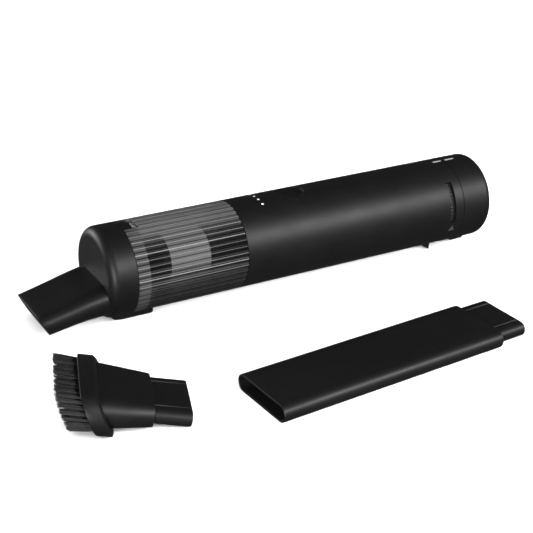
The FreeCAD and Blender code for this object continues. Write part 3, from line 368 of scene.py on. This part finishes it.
def nylon(name, level):
    """Bristle nylon: each strand a slightly different grey, with a soft gloss along it."""
    shader = Shader(name).set(Specular_IOR_Level=0.45)
    strands = shader.noise(1400.0, 2.0)
    shader.to(shader.ramp(strands, (0.3, tone(level * 0.55)), (0.7, tone(level * 1.5))), "Base Color")
    shader.to(shader.ramp(strands, (0.3, 0.42), (0.7, 0.6)), "Roughness")
    shader.bump(shader.noise(4000.0), 0.1, 0.02 * MM)
    return shader.material


def lamp(name):
    """Milky light pipe, softly lit."""
    shader = Shader(name).set(Emission_Strength=0.9, Subsurface_Weight=0.2)
    milky, white = (0.86, 0.89, 0.93, 1.0), (0.97, 0.98, 1.0, 1.0)
    glow = shader.ramp(shader.noise(1500.0, 2.0), (0.3, milky), (0.7, white))
    shader.to(glow, "Base Color")
    shader.to(glow, "Emission Color")
    shader.to(shader.ramp(shader.noise(900.0), (0.3, 0.22), (0.7, 0.34)), "Roughness")
    return shader.material


MATERIALS = {
    "shell_plastic": moulded("shell_plastic_satin", 0.0060, 0.47),
    "nozzle_gloss": moulded("nozzle_plastic_satin", 0.0060, 0.40),
    "pin_black": metal("pin_blackened", 0.03, 0.42, (1.0, 0.1, 1.0)),
    "tool_plastic": moulded("tool_plastic_satin", 0.0072, 0.45),
    "button_plastic": moulded("button_plastic_satin", 0.0065, 0.34),
    "inner_plastic": moulded("inner_plastic_dark", 0.020, 0.5),
    "filter_frame": moulded("filter_frame_dark", 0.012, 0.5),
    "filter_fibre": fibre("filter_fibre_pleated", 0.28),
    "smoke_clear": smoke_clear("smoke_clear_plastic"),
    "smoke_inside": smoke_inside("smoke_clear_inside"),
    "rim_haze": frosted("canister_rim_haze", 0.16, 0.4, 0.3),
    "lug_clear": frosted("canister_lug_clear", 0.9, 0.25, 0.55),
    "black_rubber": rubber("black_rubber_soft", 0.014),
    "foam": foam("exhaust_foam_open_cell", 0.10),
    "steel": metal("steel_turned", 0.62, 0.3, (0.1, 1.0, 1.0)),
    "motor_can": metal("motor_can_drawn", 0.48, 0.34, (1.0, 0.15, 0.15)),
    "cell_wrap": coloured("cell_wrap_film", (0.02, 0.11, 0.19, 1.0), (0.03, 0.16, 0.26, 1.0), 0.3),
    "board": circuit("board_solder_mask"),
    "lead_wire": coloured("lead_wire_insulation", (0.22, 0.012, 0.012, 1.0), (0.34, 0.02, 0.02, 1.0), 0.45),
    "light_pipe": lamp("light_pipe_milky"),
    "print_white": ink("print_white_ink"),
    "bristle": nylon("bristle_nylon", 0.035),
}

# CAD nodes that look different from the slot that the record names for them.
FINISHES = {"hinge_pin": "pin_black", "latch_pin": "pin_black"}


def finish_nodes():
    """Give every CAD node its finish, which is the record's slot unless FINISHES names another."""
    for part in frame["record"]["subparts"]:
        mesh = nodes[part["node"]].data
        mesh.materials.clear()
        mesh.materials.append(MATERIALS[FINISHES.get(part["node"], part["material_slot"])])


# ---- mesh building -----------------------------------------------------------------------------

def new_piece(name, body, slot, mesh, stands_for=(), finish=None):
    """Link a finished mesh as a piece that rides a body, in its slot's finish or in another one."""
    piece = bpy.data.objects.new(name, mesh)
    bpy.context.scene.collection.objects.link(piece)
    mesh.materials.append(MATERIALS[finish or slot])
    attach(piece, body)
    if stands_for:
        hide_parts(*stands_for)
    return piece


def mesh_from(name, build, smooth_angle=35.0):
    """A mesh made by a function that fills a bmesh; edges sharper than the angle stay crisp."""
    grid = bmesh.new()
    build(grid)
    bmesh.ops.recalc_face_normals(grid, faces=grid.faces)
    for face in grid.faces:
        face.smooth = True
    for edge in grid.edges:
        edge.smooth = len(edge.link_faces) == 2 and edge.calc_face_angle() < math.radians(smooth_angle)
    mesh = bpy.data.meshes.new(name)
    grid.to_mesh(mesh)
    grid.free()
    return mesh


def bridge(grid, rings, closed=True):
    """Skin a run of vertex rings with quads, and join the last to the first if closed."""
    count = len(rings[0])
    pairs = list(zip(rings, rings[1:])) + ([(rings[-1], rings[0])] if closed else [])
    for first, second in pairs:
        for index in range(count):
            after = (index + 1) % count
            grid.faces.new((first[index], first[after], second[after], second[index]))


# ---- flat oval tubes, which the nozzle and both tools are made of ------------------------------
# A section is a station x with the half width and the end radius of its oval.
GROOVE_AT = 13.2 * MM
GROOVE_HALF = 0.35 * MM
OVAL_STEPS = 14
LIP_STEPS = 6
SMOOTH_OVAL = 28.0


def flat_oval(half, radius, groove=0.0):
    """Points (y, z) round a flat oval of this half width and end radius, with two grooves a face."""
    outline = []
    for side in (1, -1):
        for step in range(OVAL_STEPS + 1):
            angle = -math.pi / 2 + math.pi * step / OVAL_STEPS
            outline.append((side * (half - radius + radius * math.cos(angle)),
                            side * radius * math.sin(angle)))
        for middle in (GROOVE_AT, -GROOVE_AT):
            for shift, depth in ((2, 0.0), (1, groove), (-1, groove), (-2, 0.0)):
                outline.append((side * (middle + shift * GROOVE_HALF / 2), side * (radius - depth)))
    return outline


def oval_ring(grid, place, x, half, radius, height=0.0, low=0.0, groove=0.0):
    """One ring of a flat oval tube, lifted by a height and leaning by low, the shift of x with z."""
    return [grid.verts.new(place @ Vector((x + low * z, y, z + height)))
            for y, z in flat_oval(half, radius, groove)]


def section(x, half, radius, **more):
    """A section, with any other settings that its ring takes."""
    return dict(x=x, half=half, radius=radius, **more)


def lip(x, half, radius, skin, way=1, **more):
    """Sections that roll a tube's wall over its end at x, from the outer face to the inner one. The
    tube runs from x towards +x, or towards -x where way is -1."""
    sections = []
    for step in range(LIP_STEPS + 1):
        angle = math.pi * step / LIP_STEPS
        inset = skin / 2 * (1 - math.cos(angle))
        sections.append(section(x + way * skin / 2 * (1 - math.sin(angle)), half - inset, radius - inset,
                                **more))
    return sections


def step_down(x, first, second, round_off):
    """Sections for a shoulder from the first (half, radius) down to the second, with soft corners."""
    share = min(0.45, round_off / (first[1] - second[1]))

    def dropped(at, part):
        """A section that has come down this part of the way."""
        return section(at, *(high - (high - low) * part for high, low in zip(first, second)))

    return [dropped(x - round_off, 0.0), dropped(x - round_off * 0.3, share * 0.3), dropped(x, share),
            dropped(x, 0.8), dropped(x + round_off * 0.4, 1.0)]


def oval_piece(name, body, slot, place, sections, stands_for, finish=None):
    """A closed skin through a run of flat oval sections that ends where it began."""
    def build(grid):
        bridge(grid, [oval_ring(grid, place, **one) for one in sections])

    new_piece(name, body, slot, mesh_from(name, build, SMOOTH_OVAL), stands_for, finish)


# ---- dust canister -----------------------------------------------------------------------------
GAP = 0.1 * MM
canister_low, canister_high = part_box("dust_canister")
FLUTE_STEPS = 8
FLUTE_DEPTH = 0.75 * MM
END_TRIM = 0.35 * MM
SLOT_END = canister_low.x + 10.3 * MM
SLOT_HALF = 7.1 * MM
RIM_START, RIM_LENGTH, RIM_THICK, RIM_EDGE = 0.4 * MM, 6.9 * MM, 0.4 * MM, 0.1 * MM
RING_STEPS = 144
LUG_FRONT, LUG_BACK = canister_low.x + 19.4 * MM, canister_low.x + 23.9 * MM
LUG_TOE, LUG_HALF, LUG_ROUND = 1.2 * MM, 4.0 * MM, 0.25 * MM
LUG_TOP = AXIS_Z - 29.3 * MM
EAR_BELOW_PIN, EAR_BELOW_WALL, EAR_ROUND = 1.0 * MM, 1.3 * MM, 0.3 * MM


def barrel_point(x, radius, angle):
    """A point about the barrel's axis; angle 0 is the top and grows towards the near side."""
    return Vector((x, -radius * math.sin(angle), AXIS_Z + radius * math.cos(angle)))


def flute_radius(angle):
    """The outside of the clear tube: a row of narrow convex flutes."""
    across = (angle / TURN * FLUTES) % 1.0
    return BARREL_RADIUS - FLUTE_DEPTH * (1.0 - math.sqrt(max(0.0, 1.0 - (2 * across - 1) ** 2)))


def canister_shell(grid):
    """The fluted tube, open at both ends and notched on top for the cap's hinge."""
    slot_angle = math.asin(SLOT_HALF / BARREL_RADIUS)
    angles = sorted({TURN * step / (FLUTES * FLUTE_STEPS) for step in range(FLUTES * FLUTE_STEPS)}
                    | {slot_angle, TURN - slot_angle})
    front, back = canister_low.x, canister_high.x
    stations = [front, front + 0.5 * MM, (front + SLOT_END) / 2, SLOT_END, SLOT_END + 1 * MM,
                (front + back) / 2, back - 0.5 * MM, back]
    count, last = len(angles), len(stations) - 1
    inner_radius = BARREL_RADIUS - WALL
    outer, inner = [], []
    for step, x in enumerate(stations):
        trim = END_TRIM if step in (0, last) else 0.0
        outer.append([grid.verts.new(barrel_point(x, flute_radius(angle) - trim, angle))
                      for angle in angles])
        inner.append([grid.verts.new(barrel_point(x, inner_radius, angle)) for angle in angles])

    def present(ring, index):
        """Whether the wall has a patch here, and not the slot."""
        middle = (angles[index % count] + (angles[(index + 1) % count] or TURN)) / 2
        return min(middle, TURN - middle) >= slot_angle or stations[ring + 1] > SLOT_END + GAP

    def wall(first, second):
        """Close the wall's thickness along an edge between two (ring, index) places."""
        grid.faces.new((outer[first[0]][first[1]], outer[second[0]][second[1]],
                        inner[second[0]][second[1]], inner[first[0]][first[1]]))

    for ring in range(last):
        for index in range(count):
            if not present(ring, index):
                continue
            after = (index + 1) % count
            for skin in (outer, inner):
                face = grid.faces.new((skin[ring][index], skin[ring][after],
                                       skin[ring + 1][after], skin[ring + 1][index]))
                face.material_index = 1 if skin is inner else 0
            if ring == 0 or not present(ring - 1, index):
                wall((ring, index), (ring, after))
            if ring == last - 1 or not present(ring + 1, index):
                wall((ring + 1, index), (ring + 1, after))
            if not present(ring, index - 1):
                wall((ring, index), (ring + 1, index))
            if not present(ring, after):
                wall((ring, after), (ring + 1, after))
    loose = [vert for vert in grid.verts if not vert.link_faces]
    bmesh.ops.delete(grid, geom=loose, context="VERTS")


def soft_prism(grid, corners, half, round_off):
    """A plate from an outline of (x, z) across y from -half to half, with its edges rounded."""
    sides = [[grid.verts.new(Vector((x, y, z))) for x, z in corners] for y in (-half, half)]
    faces = [grid.faces.new(side) for side in sides]
    count = len(corners)
    for index in range(count):
        after = (index + 1) % count
        faces.append(grid.faces.new((sides[0][index], sides[0][after], sides[1][after], sides[1][index])))
    edges = list({edge for face in faces for edge in face.edges})
    bmesh.ops.bevel(grid, geom=edges, offset=round_off, segments=3, affect="EDGES", profile=0.6)


def build_tube():
    tube = new_piece("canister_fluted", "canister", "smoke_clear",
                     mesh_from("canister_fluted", canister_shell, smooth_angle=50.0), ["dust_canister"])
    tube.data.materials.append(MATERIALS["smoke_inside"])


def build_rim():
    """A thin hazy ring inside the tube's front end, where it laps the cap."""
    start, end = canister_low.x + RIM_START, canister_low.x + RIM_START + RIM_LENGTH
    outer = BARREL_RADIUS - WALL - GAP
    inner = outer - RIM_THICK
    corners = [(start, inner), (start, outer - RIM_EDGE), (start + RIM_EDGE, outer),
               (end - RIM_EDGE, outer), (end, outer - RIM_EDGE), (end, inner)]

    def rim(grid):
        bridge(grid, [[grid.verts.new(barrel_point(x, radius, TURN * step / RING_STEPS))
                       for step in range(RING_STEPS)] for x, radius in corners])

    new_piece("canister_rim", "canister", "smoke_clear", mesh_from("canister_rim", rim), finish="rim_haze")


def build_lug():
    """The wedge under the tube that the latch's hook reaches for."""
    foot = canister_low.z + GAP

    def lug(grid):
        soft_prism(grid, [(LUG_FRONT, LUG_TOP), (LUG_FRONT, foot), (LUG_FRONT + LUG_TOE, foot),
                          (LUG_BACK, LUG_TOP)], LUG_HALF, LUG_ROUND)

    new_piece("canister_lug", "canister", "smoke_clear", mesh_from("canister_lug", lug), finish="lug_clear")


def build_hinge_ears():
    """The two ears beside the slot, which carry the hinge pin's ends."""
    pin_low, pin_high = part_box("hinge_pin")
    front, low = canister_low.x + RIM_START, pin_low.z - EAR_BELOW_PIN
    top = AXIS_Z + BARREL_RADIUS - WALL - EAR_BELOW_WALL
    inside, outside = SLOT_HALF + GAP, pin_high.y - GAP
    for side, name in ((-1, "hinge_ear_near"), (1, "hinge_ear_far")):
        def ear(grid):
            soft_prism(grid, [(front, low), (SLOT_END, low), (SLOT_END, top), (front, top)],
                       (outside - inside) / 2, EAR_ROUND)
            bmesh.ops.translate(grid, verts=grid.verts, vec=(0, side * (inside + outside) / 2, 0))

        new_piece(name, "canister", "smoke_clear", mesh_from(name, ear), finish="rim_haze")


# ---- filter ------------------------------------------------------------------------------------
PLEATS = 56
PLEAT_FOLD = 1.5 * MM
FILTER_DEPTH = 3.7 * MM
PLEAT_SHAPE = (1.0, 0.75, 0.0, 0.75)


def build_filter():
    """The pleated medium: a closed ring whose outside is folded into narrow pleats."""
    low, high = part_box("filter_medium")
    outer = (high.z - low.z) / 2
    steps = PLEATS * len(PLEAT_SHAPE)
    folded = [outer - GAP - PLEAT_FOLD * (1 - crest) for crest in PLEAT_SHAPE * PLEATS]
    core = [outer - FILTER_DEPTH] * steps

    def pleated(grid):
        bridge(grid, [[grid.verts.new(barrel_point(x, radii[step], TURN * step / steps))
                       for step in range(steps)]
                      for x, radii in ((low.x, folded), (high.x, folded), (high.x, core), (low.x, core))])

    new_piece("filter_pleats", "filter", "filter_fibre",
              mesh_from("filter_pleats", pleated, smooth_angle=40.0), ["filter_medium"])


# ---- nozzle ------------------------------------------------------------------------------------
cap_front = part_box("front_cap")[0].x
INLET_BACK = cap_front + 3.0 * MM
MOUTH = -59.65 * MM
MOUTH_SLOPE = -0.5
NOZZLE_SKIN = 1.1 * MM
INLET_SKIN = 3.2 * MM
NOZZLE_RUN = 12
MOUTH_STEPS = 7
# Stations from the cap to past the mouth: x, then half width, top and bottom below the barrel's axis.
SNOUT = [(cap_front, 24.75 * MM, 1.55 * MM, 22.35 * MM), (-30.0 * MM, 24.1 * MM, 4.6 * MM, 22.75 * MM),
         (-40.0 * MM, 23.7 * MM, 7.9 * MM, 23.5 * MM), (-52.0 * MM, 23.25 * MM, 11.2 * MM, 25.5 * MM),
         (-66.0 * MM, 22.8 * MM, 14.8 * MM, 27.8 * MM)]


def snout_at(x):
    """The snout's half width, top and bottom at x, eased in straight runs between its stations."""
    for first, second in zip(SNOUT, SNOUT[1:]):
        if x >= second[0]:
            share = min(1.0, max(0.0, (first[0] - x) / (first[0] - second[0])))
            return [a + (b - a) * share for a, b in zip(first[1:], second[1:])]
    return SNOUT[-1][1:]


def snout_section(x, skin=0.0, low=0.0):
    """The snout's section at x, this far inside its outer face."""
    half, top, bottom = snout_at(x)
    radius = (bottom - top) / 2
    return section(x, half - skin, radius - skin, height=AXIS_Z - (top + bottom) / 2, low=low)


def build_nozzle():
    """The snout: its outside forwards to the mouth, the rolled lip, and its inside back again."""
    lip_x = MOUTH + NOZZLE_SKIN / 2

    def run_section(step, skin=0.0):
        """One of the sections from the cap to the lip, leaning more and more as the mouth slants."""
        share = step / NOZZLE_RUN
        return snout_section(cap_front + (lip_x - cap_front) * share, skin, MOUTH_SLOPE * share)

    outside = [snout_section(INLET_BACK), snout_section(cap_front)]
    outside += [run_section(step) for step in range(1, NOZZLE_RUN + 1)]
    rolled = []
    for step in range(1, MOUTH_STEPS):
        angle = math.pi * step / MOUTH_STEPS
        rolled.append(snout_section(MOUTH + NOZZLE_SKIN / 2 * (1 - math.sin(angle)),
                                    NOZZLE_SKIN / 2 * (1 - math.cos(angle)), MOUTH_SLOPE))
    inside = [run_section(step, NOZZLE_SKIN) for step in range(NOZZLE_RUN, 0, -1)]
    inside += [snout_section(cap_front, INLET_SKIN), snout_section(INLET_BACK, INLET_SKIN)]
    oval_piece("nozzle_snout", "cap", "shell_plastic", Matrix(), outside + rolled + inside,
               ["suction_nozzle"], "nozzle_gloss")


# ---- loose tools -------------------------------------------------------------------------------
# A pair is an oval's half width and end radius. Each tool lies along its own x axis, with x at 0 on the
# crevice tool's mouth and on the brush's shoulder.
NECK = (21.1 * MM, 4.8 * MM)
NECK_LENGTH = 22.0 * MM
TOOL_SKIN = 1.4 * MM
NECK_SKIN = 1.4 * MM
GROOVE_DEPTH = 0.3 * MM
GROOVE_START = 1.0 * MM
GROOVE_RAMP = 0.4 * MM
SHOULDER_ROUND = 0.7 * MM
THROAT_FRONT, THROAT_BACK = 6.0 * MM, 4.0 * MM

CREVICE = (24.8 * MM, 5.85 * MM)
CREVICE_LENGTH = 167.8 * MM
CREVICE_AT = (26.5 * MM, -139.2 * MM)
CREVICE_YAW = math.radians(4.3)

FUNNEL_NARROW = (23.4 * MM, 6.9 * MM)
FUNNEL_WIDE = (27.4 * MM, 9.6 * MM)
FUNNEL_HIDDEN = (27.8 * MM, 9.86 * MM)
FUNNEL_LENGTH = 31.0 * MM
FUNNEL_OVERLAP = 3.0 * MM
COLLAR = (32.0 * MM, 12.8 * MM)
COLLAR_FLOOR = (26.0 * MM, 8.2 * MM)
COLLAR_FRONT, COLLAR_BACK, COLLAR_POCKET = 36.8 * MM, 26.8 * MM, 5.0 * MM
COLLAR_SKIN, COLLAR_CHAMFER = 1.8 * MM, 1.3 * MM
COLLAR_LEAN = -math.tan(math.radians(28.0))
BRUSH_AT = (-32.6 * MM, -115.8 * MM)
BRUSH_YAW = math.radians(-19.8)
# The brush rests on its collar's lower back edge and on its neck's end.
BRUSH_PITCH = math.atan2(COLLAR[1] - NECK[1], COLLAR_BACK + COLLAR[1] * COLLAR_LEAN + NECK_LENGTH)
BRUSH_HEIGHT = NECK_LENGTH * math.sin(BRUSH_PITCH) + NECK[1] * math.cos(BRUSH_PITCH)
BRUSH_PLACE = (Matrix.Translation((*BRUSH_AT, BRUSH_HEIGHT))
               @ Matrix.Rotation(BRUSH_YAW, 4, "Z") @ Matrix.Rotation(BRUSH_PITCH, 4, "Y"))


def shrunk(pair, inset):
    """The oval that lies this far inside another."""
    return pair[0] - inset, pair[1] - inset


def neck_sections(start, end, throat_start):
    """A tool's neck from its shoulder to its rolled end and back inside to the throat's start."""
    return [section(start + GROOVE_START - GROOVE_RAMP, *NECK),
            section(start + GROOVE_START, *NECK, groove=GROOVE_DEPTH),
            section(end - NECK_SKIN, *NECK, groove=GROOVE_DEPTH),
            *lip(end, *NECK, NECK_SKIN, way=-1),
            section(throat_start, *shrunk(NECK, NECK_SKIN))]


def build_crevice_tool():
    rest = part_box("crevice_tool")[0].z
    place = (Matrix.Translation((*CREVICE_AT, rest + CREVICE[1])) @ Matrix.Rotation(CREVICE_YAW, 4, "Z"))
    inner = shrunk(CREVICE, TOOL_SKIN)
    whole = list(reversed(lip(0.0, *CREVICE, TOOL_SKIN)))
    whole += [section(CREVICE_LENGTH * share, *CREVICE) for share in (0.25, 0.5, 0.75)]
    whole += step_down(CREVICE_LENGTH, CREVICE, NECK, SHOULDER_ROUND)
    whole += neck_sections(CREVICE_LENGTH, CREVICE_LENGTH + NECK_LENGTH, CREVICE_LENGTH - THROAT_FRONT)
    whole += [section(CREVICE_LENGTH - THROAT_BACK, *inner), section(CREVICE_LENGTH / 2, *inner)]
    oval_piece("crevice_tool_skin", "crevice", "tool_plastic", place, whole, ["crevice_tool"])


def build_brush_funnel():
    """The funnel from the collar to its shoulder, the neck, and the way back inside."""
    halfway = [(narrow + wide) / 2 for narrow, wide in zip(FUNNEL_NARROW, FUNNEL_WIDE)]
    buried = -FUNNEL_LENGTH - FUNNEL_OVERLAP
    whole = [section(buried, *FUNNEL_HIDDEN), section(-FUNNEL_LENGTH, *FUNNEL_WIDE),
             section(-FUNNEL_LENGTH / 2, *halfway)]
    whole += step_down(0.0, FUNNEL_NARROW, NECK, SHOULDER_ROUND)
    whole += neck_sections(0.0, NECK_LENGTH, -THROAT_FRONT)
    whole += [section(-THROAT_BACK, *shrunk(FUNNEL_NARROW, 2 * NECK_SKIN)),
              section(buried, *shrunk(FUNNEL_WIDE, 2 * NECK_SKIN))]
    oval_piece("brush_funnel", "brush", "tool_plastic", BRUSH_PLACE, whole, ["brush_body"])


def build_brush_collar():
    """The slanted collar: its chamfered back, its rolled front edge and the pocket for the tufts."""
    pocket = -COLLAR_FRONT + COLLAR_POCKET
    run = [(-COLLAR_BACK, COLLAR_FLOOR), (-COLLAR_BACK, shrunk(COLLAR, COLLAR_CHAMFER)),
           (-COLLAR_BACK - COLLAR_CHAMFER * 0.8, COLLAR), (-(COLLAR_BACK + COLLAR_FRONT) / 2, COLLAR)]
    whole = [section(x, *pair, low=COLLAR_LEAN) for x, pair in run]
    whole += lip(-COLLAR_FRONT, *COLLAR, COLLAR_SKIN, low=COLLAR_LEAN)
    whole += [section(pocket, *pair, low=COLLAR_LEAN)
              for pair in (shrunk(COLLAR, COLLAR_SKIN), COLLAR_FLOOR)]
    oval_piece("brush_collar", "brush", "tool_plastic", BRUSH_PLACE, whole, [])


# ---- bristles ----------------------------------------------------------------------------------
BRISTLE_SEED = 11
BRISTLE_TIP = -51.6 * MM
BRISTLE_ROOT = -COLLAR_FRONT + 2.0 * MM
BRISTLE_THICK = 0.17 * MM
BRISTLE_TAPER = ((0.0, 1.0), (0.4, 1.0), (0.75, 0.9), (1.0, 0.55))
BRISTLE_SIDES = 3
TUFT_ROWS, TUFT_INSET, ROW_SPACING, TUFT_SPACING = 3, 3.4 * MM, 1.9 * MM, 3.1 * MM
TUFT_STRANDS = 24
TUFT_RADIUS = 0.95 * MM
TUFT_FLARE = 1.15
GOLDEN_ANGLE = 2.39996
# How far the outer row's tips lean out, how much less each row further in leans, and the random spreads.
SPLAY, SPLAY_LESS = 0.9 * MM, 0.5 * MM
SPLAY_SPREAD, DRIFT_SPREAD, TIP_SPREAD = 0.25 * MM, 0.30 * MM, 0.16 * MM
TRIM_SPREAD, BOW_SPREAD, TURN_SPREAD = 0.28 * MM, 0.14 * MM, 0.3


def oval_walk(half, radius, spacing):
    """Points (y, z) at about equal steps round a flat oval, each with its outward direction (y, z)."""
    straight = 2 * (half - radius)
    round_end = math.pi * radius
    total = 2 * (straight + round_end)
    count = int(total / spacing)
    points = []
    for index in range(count):
        along = total * index / count
        side = 1 if along < total / 2 else -1
        along %= total / 2
        if along < round_end:
            angle = -math.pi / 2 + along / radius
            across, up = side * math.cos(angle), side * math.sin(angle)
            points.append((side * (half - radius) + radius * across, radius * up, across, up))
        else:
            points.append((side * (half - radius - (along - round_end)), side * radius, 0.0, side * 1.0))
    return points


def strand(grid, root, tip, bend):
    """One bristle: a three-sided rod that bows a little and thins towards its rounded tip."""
    rings = []
    for share, width in BRISTLE_TAPER:
        middle = root.lerp(tip, share) + bend * math.sin(math.pi * share)
        ring = []
        for corner in range(BRISTLE_SIDES):
            angle = TURN * corner / BRISTLE_SIDES
            out = Vector((0.0, math.cos(angle), math.sin(angle))) * BRISTLE_THICK * width
            ring.append(grid.verts.new(BRUSH_PLACE @ (middle + out)))
        rings.append(ring)
    bridge(grid, rings, closed=False)
    grid.faces.new(rings[0])
    grid.faces.new(rings[-1])


def build_bristles():
    """Tufts in three rows round the collar, trimmed along its slant."""
    chance = random.Random(BRISTLE_SEED)

    def scatter(spread):
        """A random step across the brush, with this spread."""
        return Vector((0.0, chance.gauss(0, spread), chance.gauss(0, spread)))

    def tuft(grid, centre, outwards):
        """One tuft's strands, laid out in a spiral, whose tips lie further outwards than its roots."""
        for index in range(TUFT_STRANDS):
            angle = index * GOLDEN_ANGLE + chance.uniform(-TURN_SPREAD, TURN_SPREAD)
            offset = Vector((0.0, math.cos(angle), math.sin(angle)))
            offset *= TUFT_RADIUS * math.sqrt((index + 0.5) / TUFT_STRANDS)
            root = centre + offset
            root.x = BRISTLE_ROOT + COLLAR_LEAN * root.z
            tip = centre + offset * TUFT_FLARE + outwards + scatter(TIP_SPREAD)
            tip.x = BRISTLE_TIP + COLLAR_LEAN * tip.z + abs(chance.gauss(0, TRIM_SPREAD))
            strand(grid, root, tip, scatter(BOW_SPREAD))

    def tufts(grid):
        for row in range(TUFT_ROWS):
            outer = shrunk(COLLAR, TUFT_INSET + row * ROW_SPACING)
            for y, z, across, up in oval_walk(*outer, TUFT_SPACING):
                splay = SPLAY - SPLAY_LESS * row + chance.gauss(0, SPLAY_SPREAD)
                leaning = Vector((0.0, across, up)) * splay + scatter(DRIFT_SPREAD)
                tuft(grid, Vector((0.0, y, z)), leaning)

    new_piece("bristle_tufts", "brush", "bristle",
              mesh_from("bristle_tufts", tufts, smooth_angle=75.0), ["brush_bristles"])


# ---- power button ------------------------------------------------------------------------------
KEY_INSET = 1.1 * MM
FLANGE_THICK = 1.3 * MM
DISH_DEPTH = 1.35 * MM
DISH_STEPS = 10
BUTTON_STEPS = 96
SKIRT_INSIDE = 0.8


def build_button():
    """The dished key, turned about its own upright axis, with a soft rim."""
    low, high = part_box("power_button")
    middle_x = (low.x + high.x) / 2
    flange = (high.x - low.x) / 2
    key = flange - KEY_INSET
    dish = []
    for step in range(1, DISH_STEPS):
        share = step / DISH_STEPS
        dish.append((key * share, high.z - DISH_DEPTH * (1 - share ** 2) - GAP))
    rim = [(key - 0.35 * MM, high.z - 0.05 * MM), (key - 0.12 * MM, high.z - 0.12 * MM),
           (key, high.z - 0.4 * MM)]
    skirt = [(key, low.z + FLANGE_THICK), (flange, low.z + FLANGE_THICK), (flange, low.z),
             (SKIRT_INSIDE * flange, low.z)]

    def turned(grid):
        rings = []
        for radius, z in dish + rim + skirt:
            angles = [TURN * step / BUTTON_STEPS for step in range(BUTTON_STEPS)]
            rings.append([grid.verts.new(Vector((middle_x + radius * math.cos(angle),
                                                 radius * math.sin(angle), z))) for angle in angles])
        bridge(grid, rings, closed=False)
        grid.faces.new(rings[0])
        grid.faces.new(rings[-1])

    new_piece("power_key", "button", "button_plastic", mesh_from("power_key", turned), ["power_button"])


# ---- room, light and camera --------------------------------------------------------------------
FLOOR_REACH = 6.0
LAMP_TARGET = Vector((90 * MM, -20 * MM, AXIS_Z))
LAMP_DISTANCE = 1.6
FLOOR_LAMP_AT = Vector((-0.5, -0.86, 1.7))
FLOOR_LAMP_POWER = 4.4
FLOOR_LAMP_WIDTH = math.radians(50.0)
VIEW_AZIMUTH, VIEW_ELEVATION, VIEW_ROLL = math.radians(-30.23), math.radians(26.03), math.radians(1.54)
VIEW_DISTANCE = 850.0 * MM
VIEW_TARGET = Vector((88.1, -35.9, 32.0)) * MM
LENS = 87.96


def build_floor():
    """A wide pale floor that lights nothing itself and isn't mirrored in the parts."""
    floor = bpy.data.meshes.new("floor")
    corners = [(across * FLOOR_REACH, along * FLOOR_REACH, 0)
               for across, along in ((-1, -1), (1, -1), (1, 1), (-1, 1))]
    floor.from_pydata(corners, [], [(0, 1, 2, 3)])
    stage = bpy.data.objects.new("floor", floor)
    bpy.context.scene.collection.objects.link(stage)
    shader = Shader("floor_pale").set(Roughness=0.9, Specular_IOR_Level=0.1)
    shader.to(shader.ramp(shader.noise(3.0), (0.3, 0.86), (0.7, 0.88)), "Base Color")
    floor.materials.append(shader.material)
    stage.visible_glossy = False
    stage.visible_diffuse = False
    return stage


def aim(thing, place, target, roll=0.0):
    """Put a lamp or camera at a place, looking at a target, rolled about its own view."""
    forward = (target - place).normalized()
    across = forward.cross(Vector((0, 0, 1))).normalized()
    above = across.cross(forward)
    right = across * math.cos(roll) + above * math.sin(roll)
    up = right.cross(forward)
    turn = Matrix((right, up, -forward)).transposed().to_4x4()
    thing.matrix_world = Matrix.Translation(place) @ turn


def direction(azimuth, elevation):
    """The way from the object to a place; azimuth 0 is towards the near side, -y, and grows to +x."""
    return Vector((math.sin(azimuth) * math.cos(elevation), -math.cos(azimuth) * math.cos(elevation),
                   math.sin(elevation)))


def new_lamp(name, kind, power, place, target):
    """Link a lamp of a kind at a place, and return its object."""
    data = bpy.data.lights.new(name, kind)
    data.energy = power
    lamp_object = bpy.data.objects.new(name, data)
    bpy.context.scene.collection.objects.link(lamp_object)
    aim(lamp_object, place, target)
    return lamp_object


def softbox(name, azimuth, elevation, width, height, power):
    """A rectangular lamp that looks at the vacuum from this azimuth and elevation, in degrees."""
    way = direction(math.radians(azimuth), math.radians(elevation))
    box = new_lamp(name, "AREA", power, LAMP_TARGET + way * LAMP_DISTANCE, LAMP_TARGET).data
    box.shape = "RECTANGLE"
    box.size, box.size_y = width, height


def floor_light(floor):
    """A soft high lamp for the floor alone, from the camera's side, so that shadows fall behind."""
    sun = new_lamp("floor_light", "SUN", FLOOR_LAMP_POWER, FLOOR_LAMP_AT, Vector((0.0, 0.0, 0.0)))
    sun.data.angle = FLOOR_LAMP_WIDTH
    receivers = bpy.data.collections.new("floor_only")
    receivers.objects.link(floor)
    sun.light_linking.receiver_collection = receivers


def build_lights(floor):
    floor_light(floor)
    softbox("key_front", azimuth=28.0, elevation=28.0, width=1.5, height=0.34, power=34.0)
    softbox("side_left", azimuth=-47.0, elevation=5.0, width=0.5, height=0.6, power=33.0)
    softbox("back_left", azimuth=-142.0, elevation=9.0, width=0.9, height=0.5, power=16.0)
    world = bpy.data.worlds.new("studio")
    world.use_nodes = True
    background = world.node_tree.nodes["Background"].inputs
    background["Color"].default_value = (1.0, 1.0, 1.0, 1.0)
    background["Strength"].default_value = 0.07
    bpy.context.scene.world = world
    bpy.context.scene.view_settings.view_transform = "Standard"


def build_camera():
    """The view from in front of the nozzle, a little above, with a slight roll."""
    data = bpy.data.cameras.new("camera")
    data.sensor_width = 36.0
    data.lens = LENS
    camera = bpy.data.objects.new("camera", data)
    bpy.context.scene.collection.objects.link(camera)
    away = direction(VIEW_AZIMUTH, VIEW_ELEVATION)
    aim(camera, VIEW_TARGET + away * VIEW_DISTANCE, VIEW_TARGET, VIEW_ROLL)
    bpy.context.scene.camera = camera


finish_nodes()
build_tube()
build_rim()
build_lug()
build_hinge_ears()
build_filter()
build_nozzle()
build_crevice_tool()
build_brush_funnel()
build_brush_collar()
build_bristles()
build_button()
build_lights(build_floor())
build_camera()
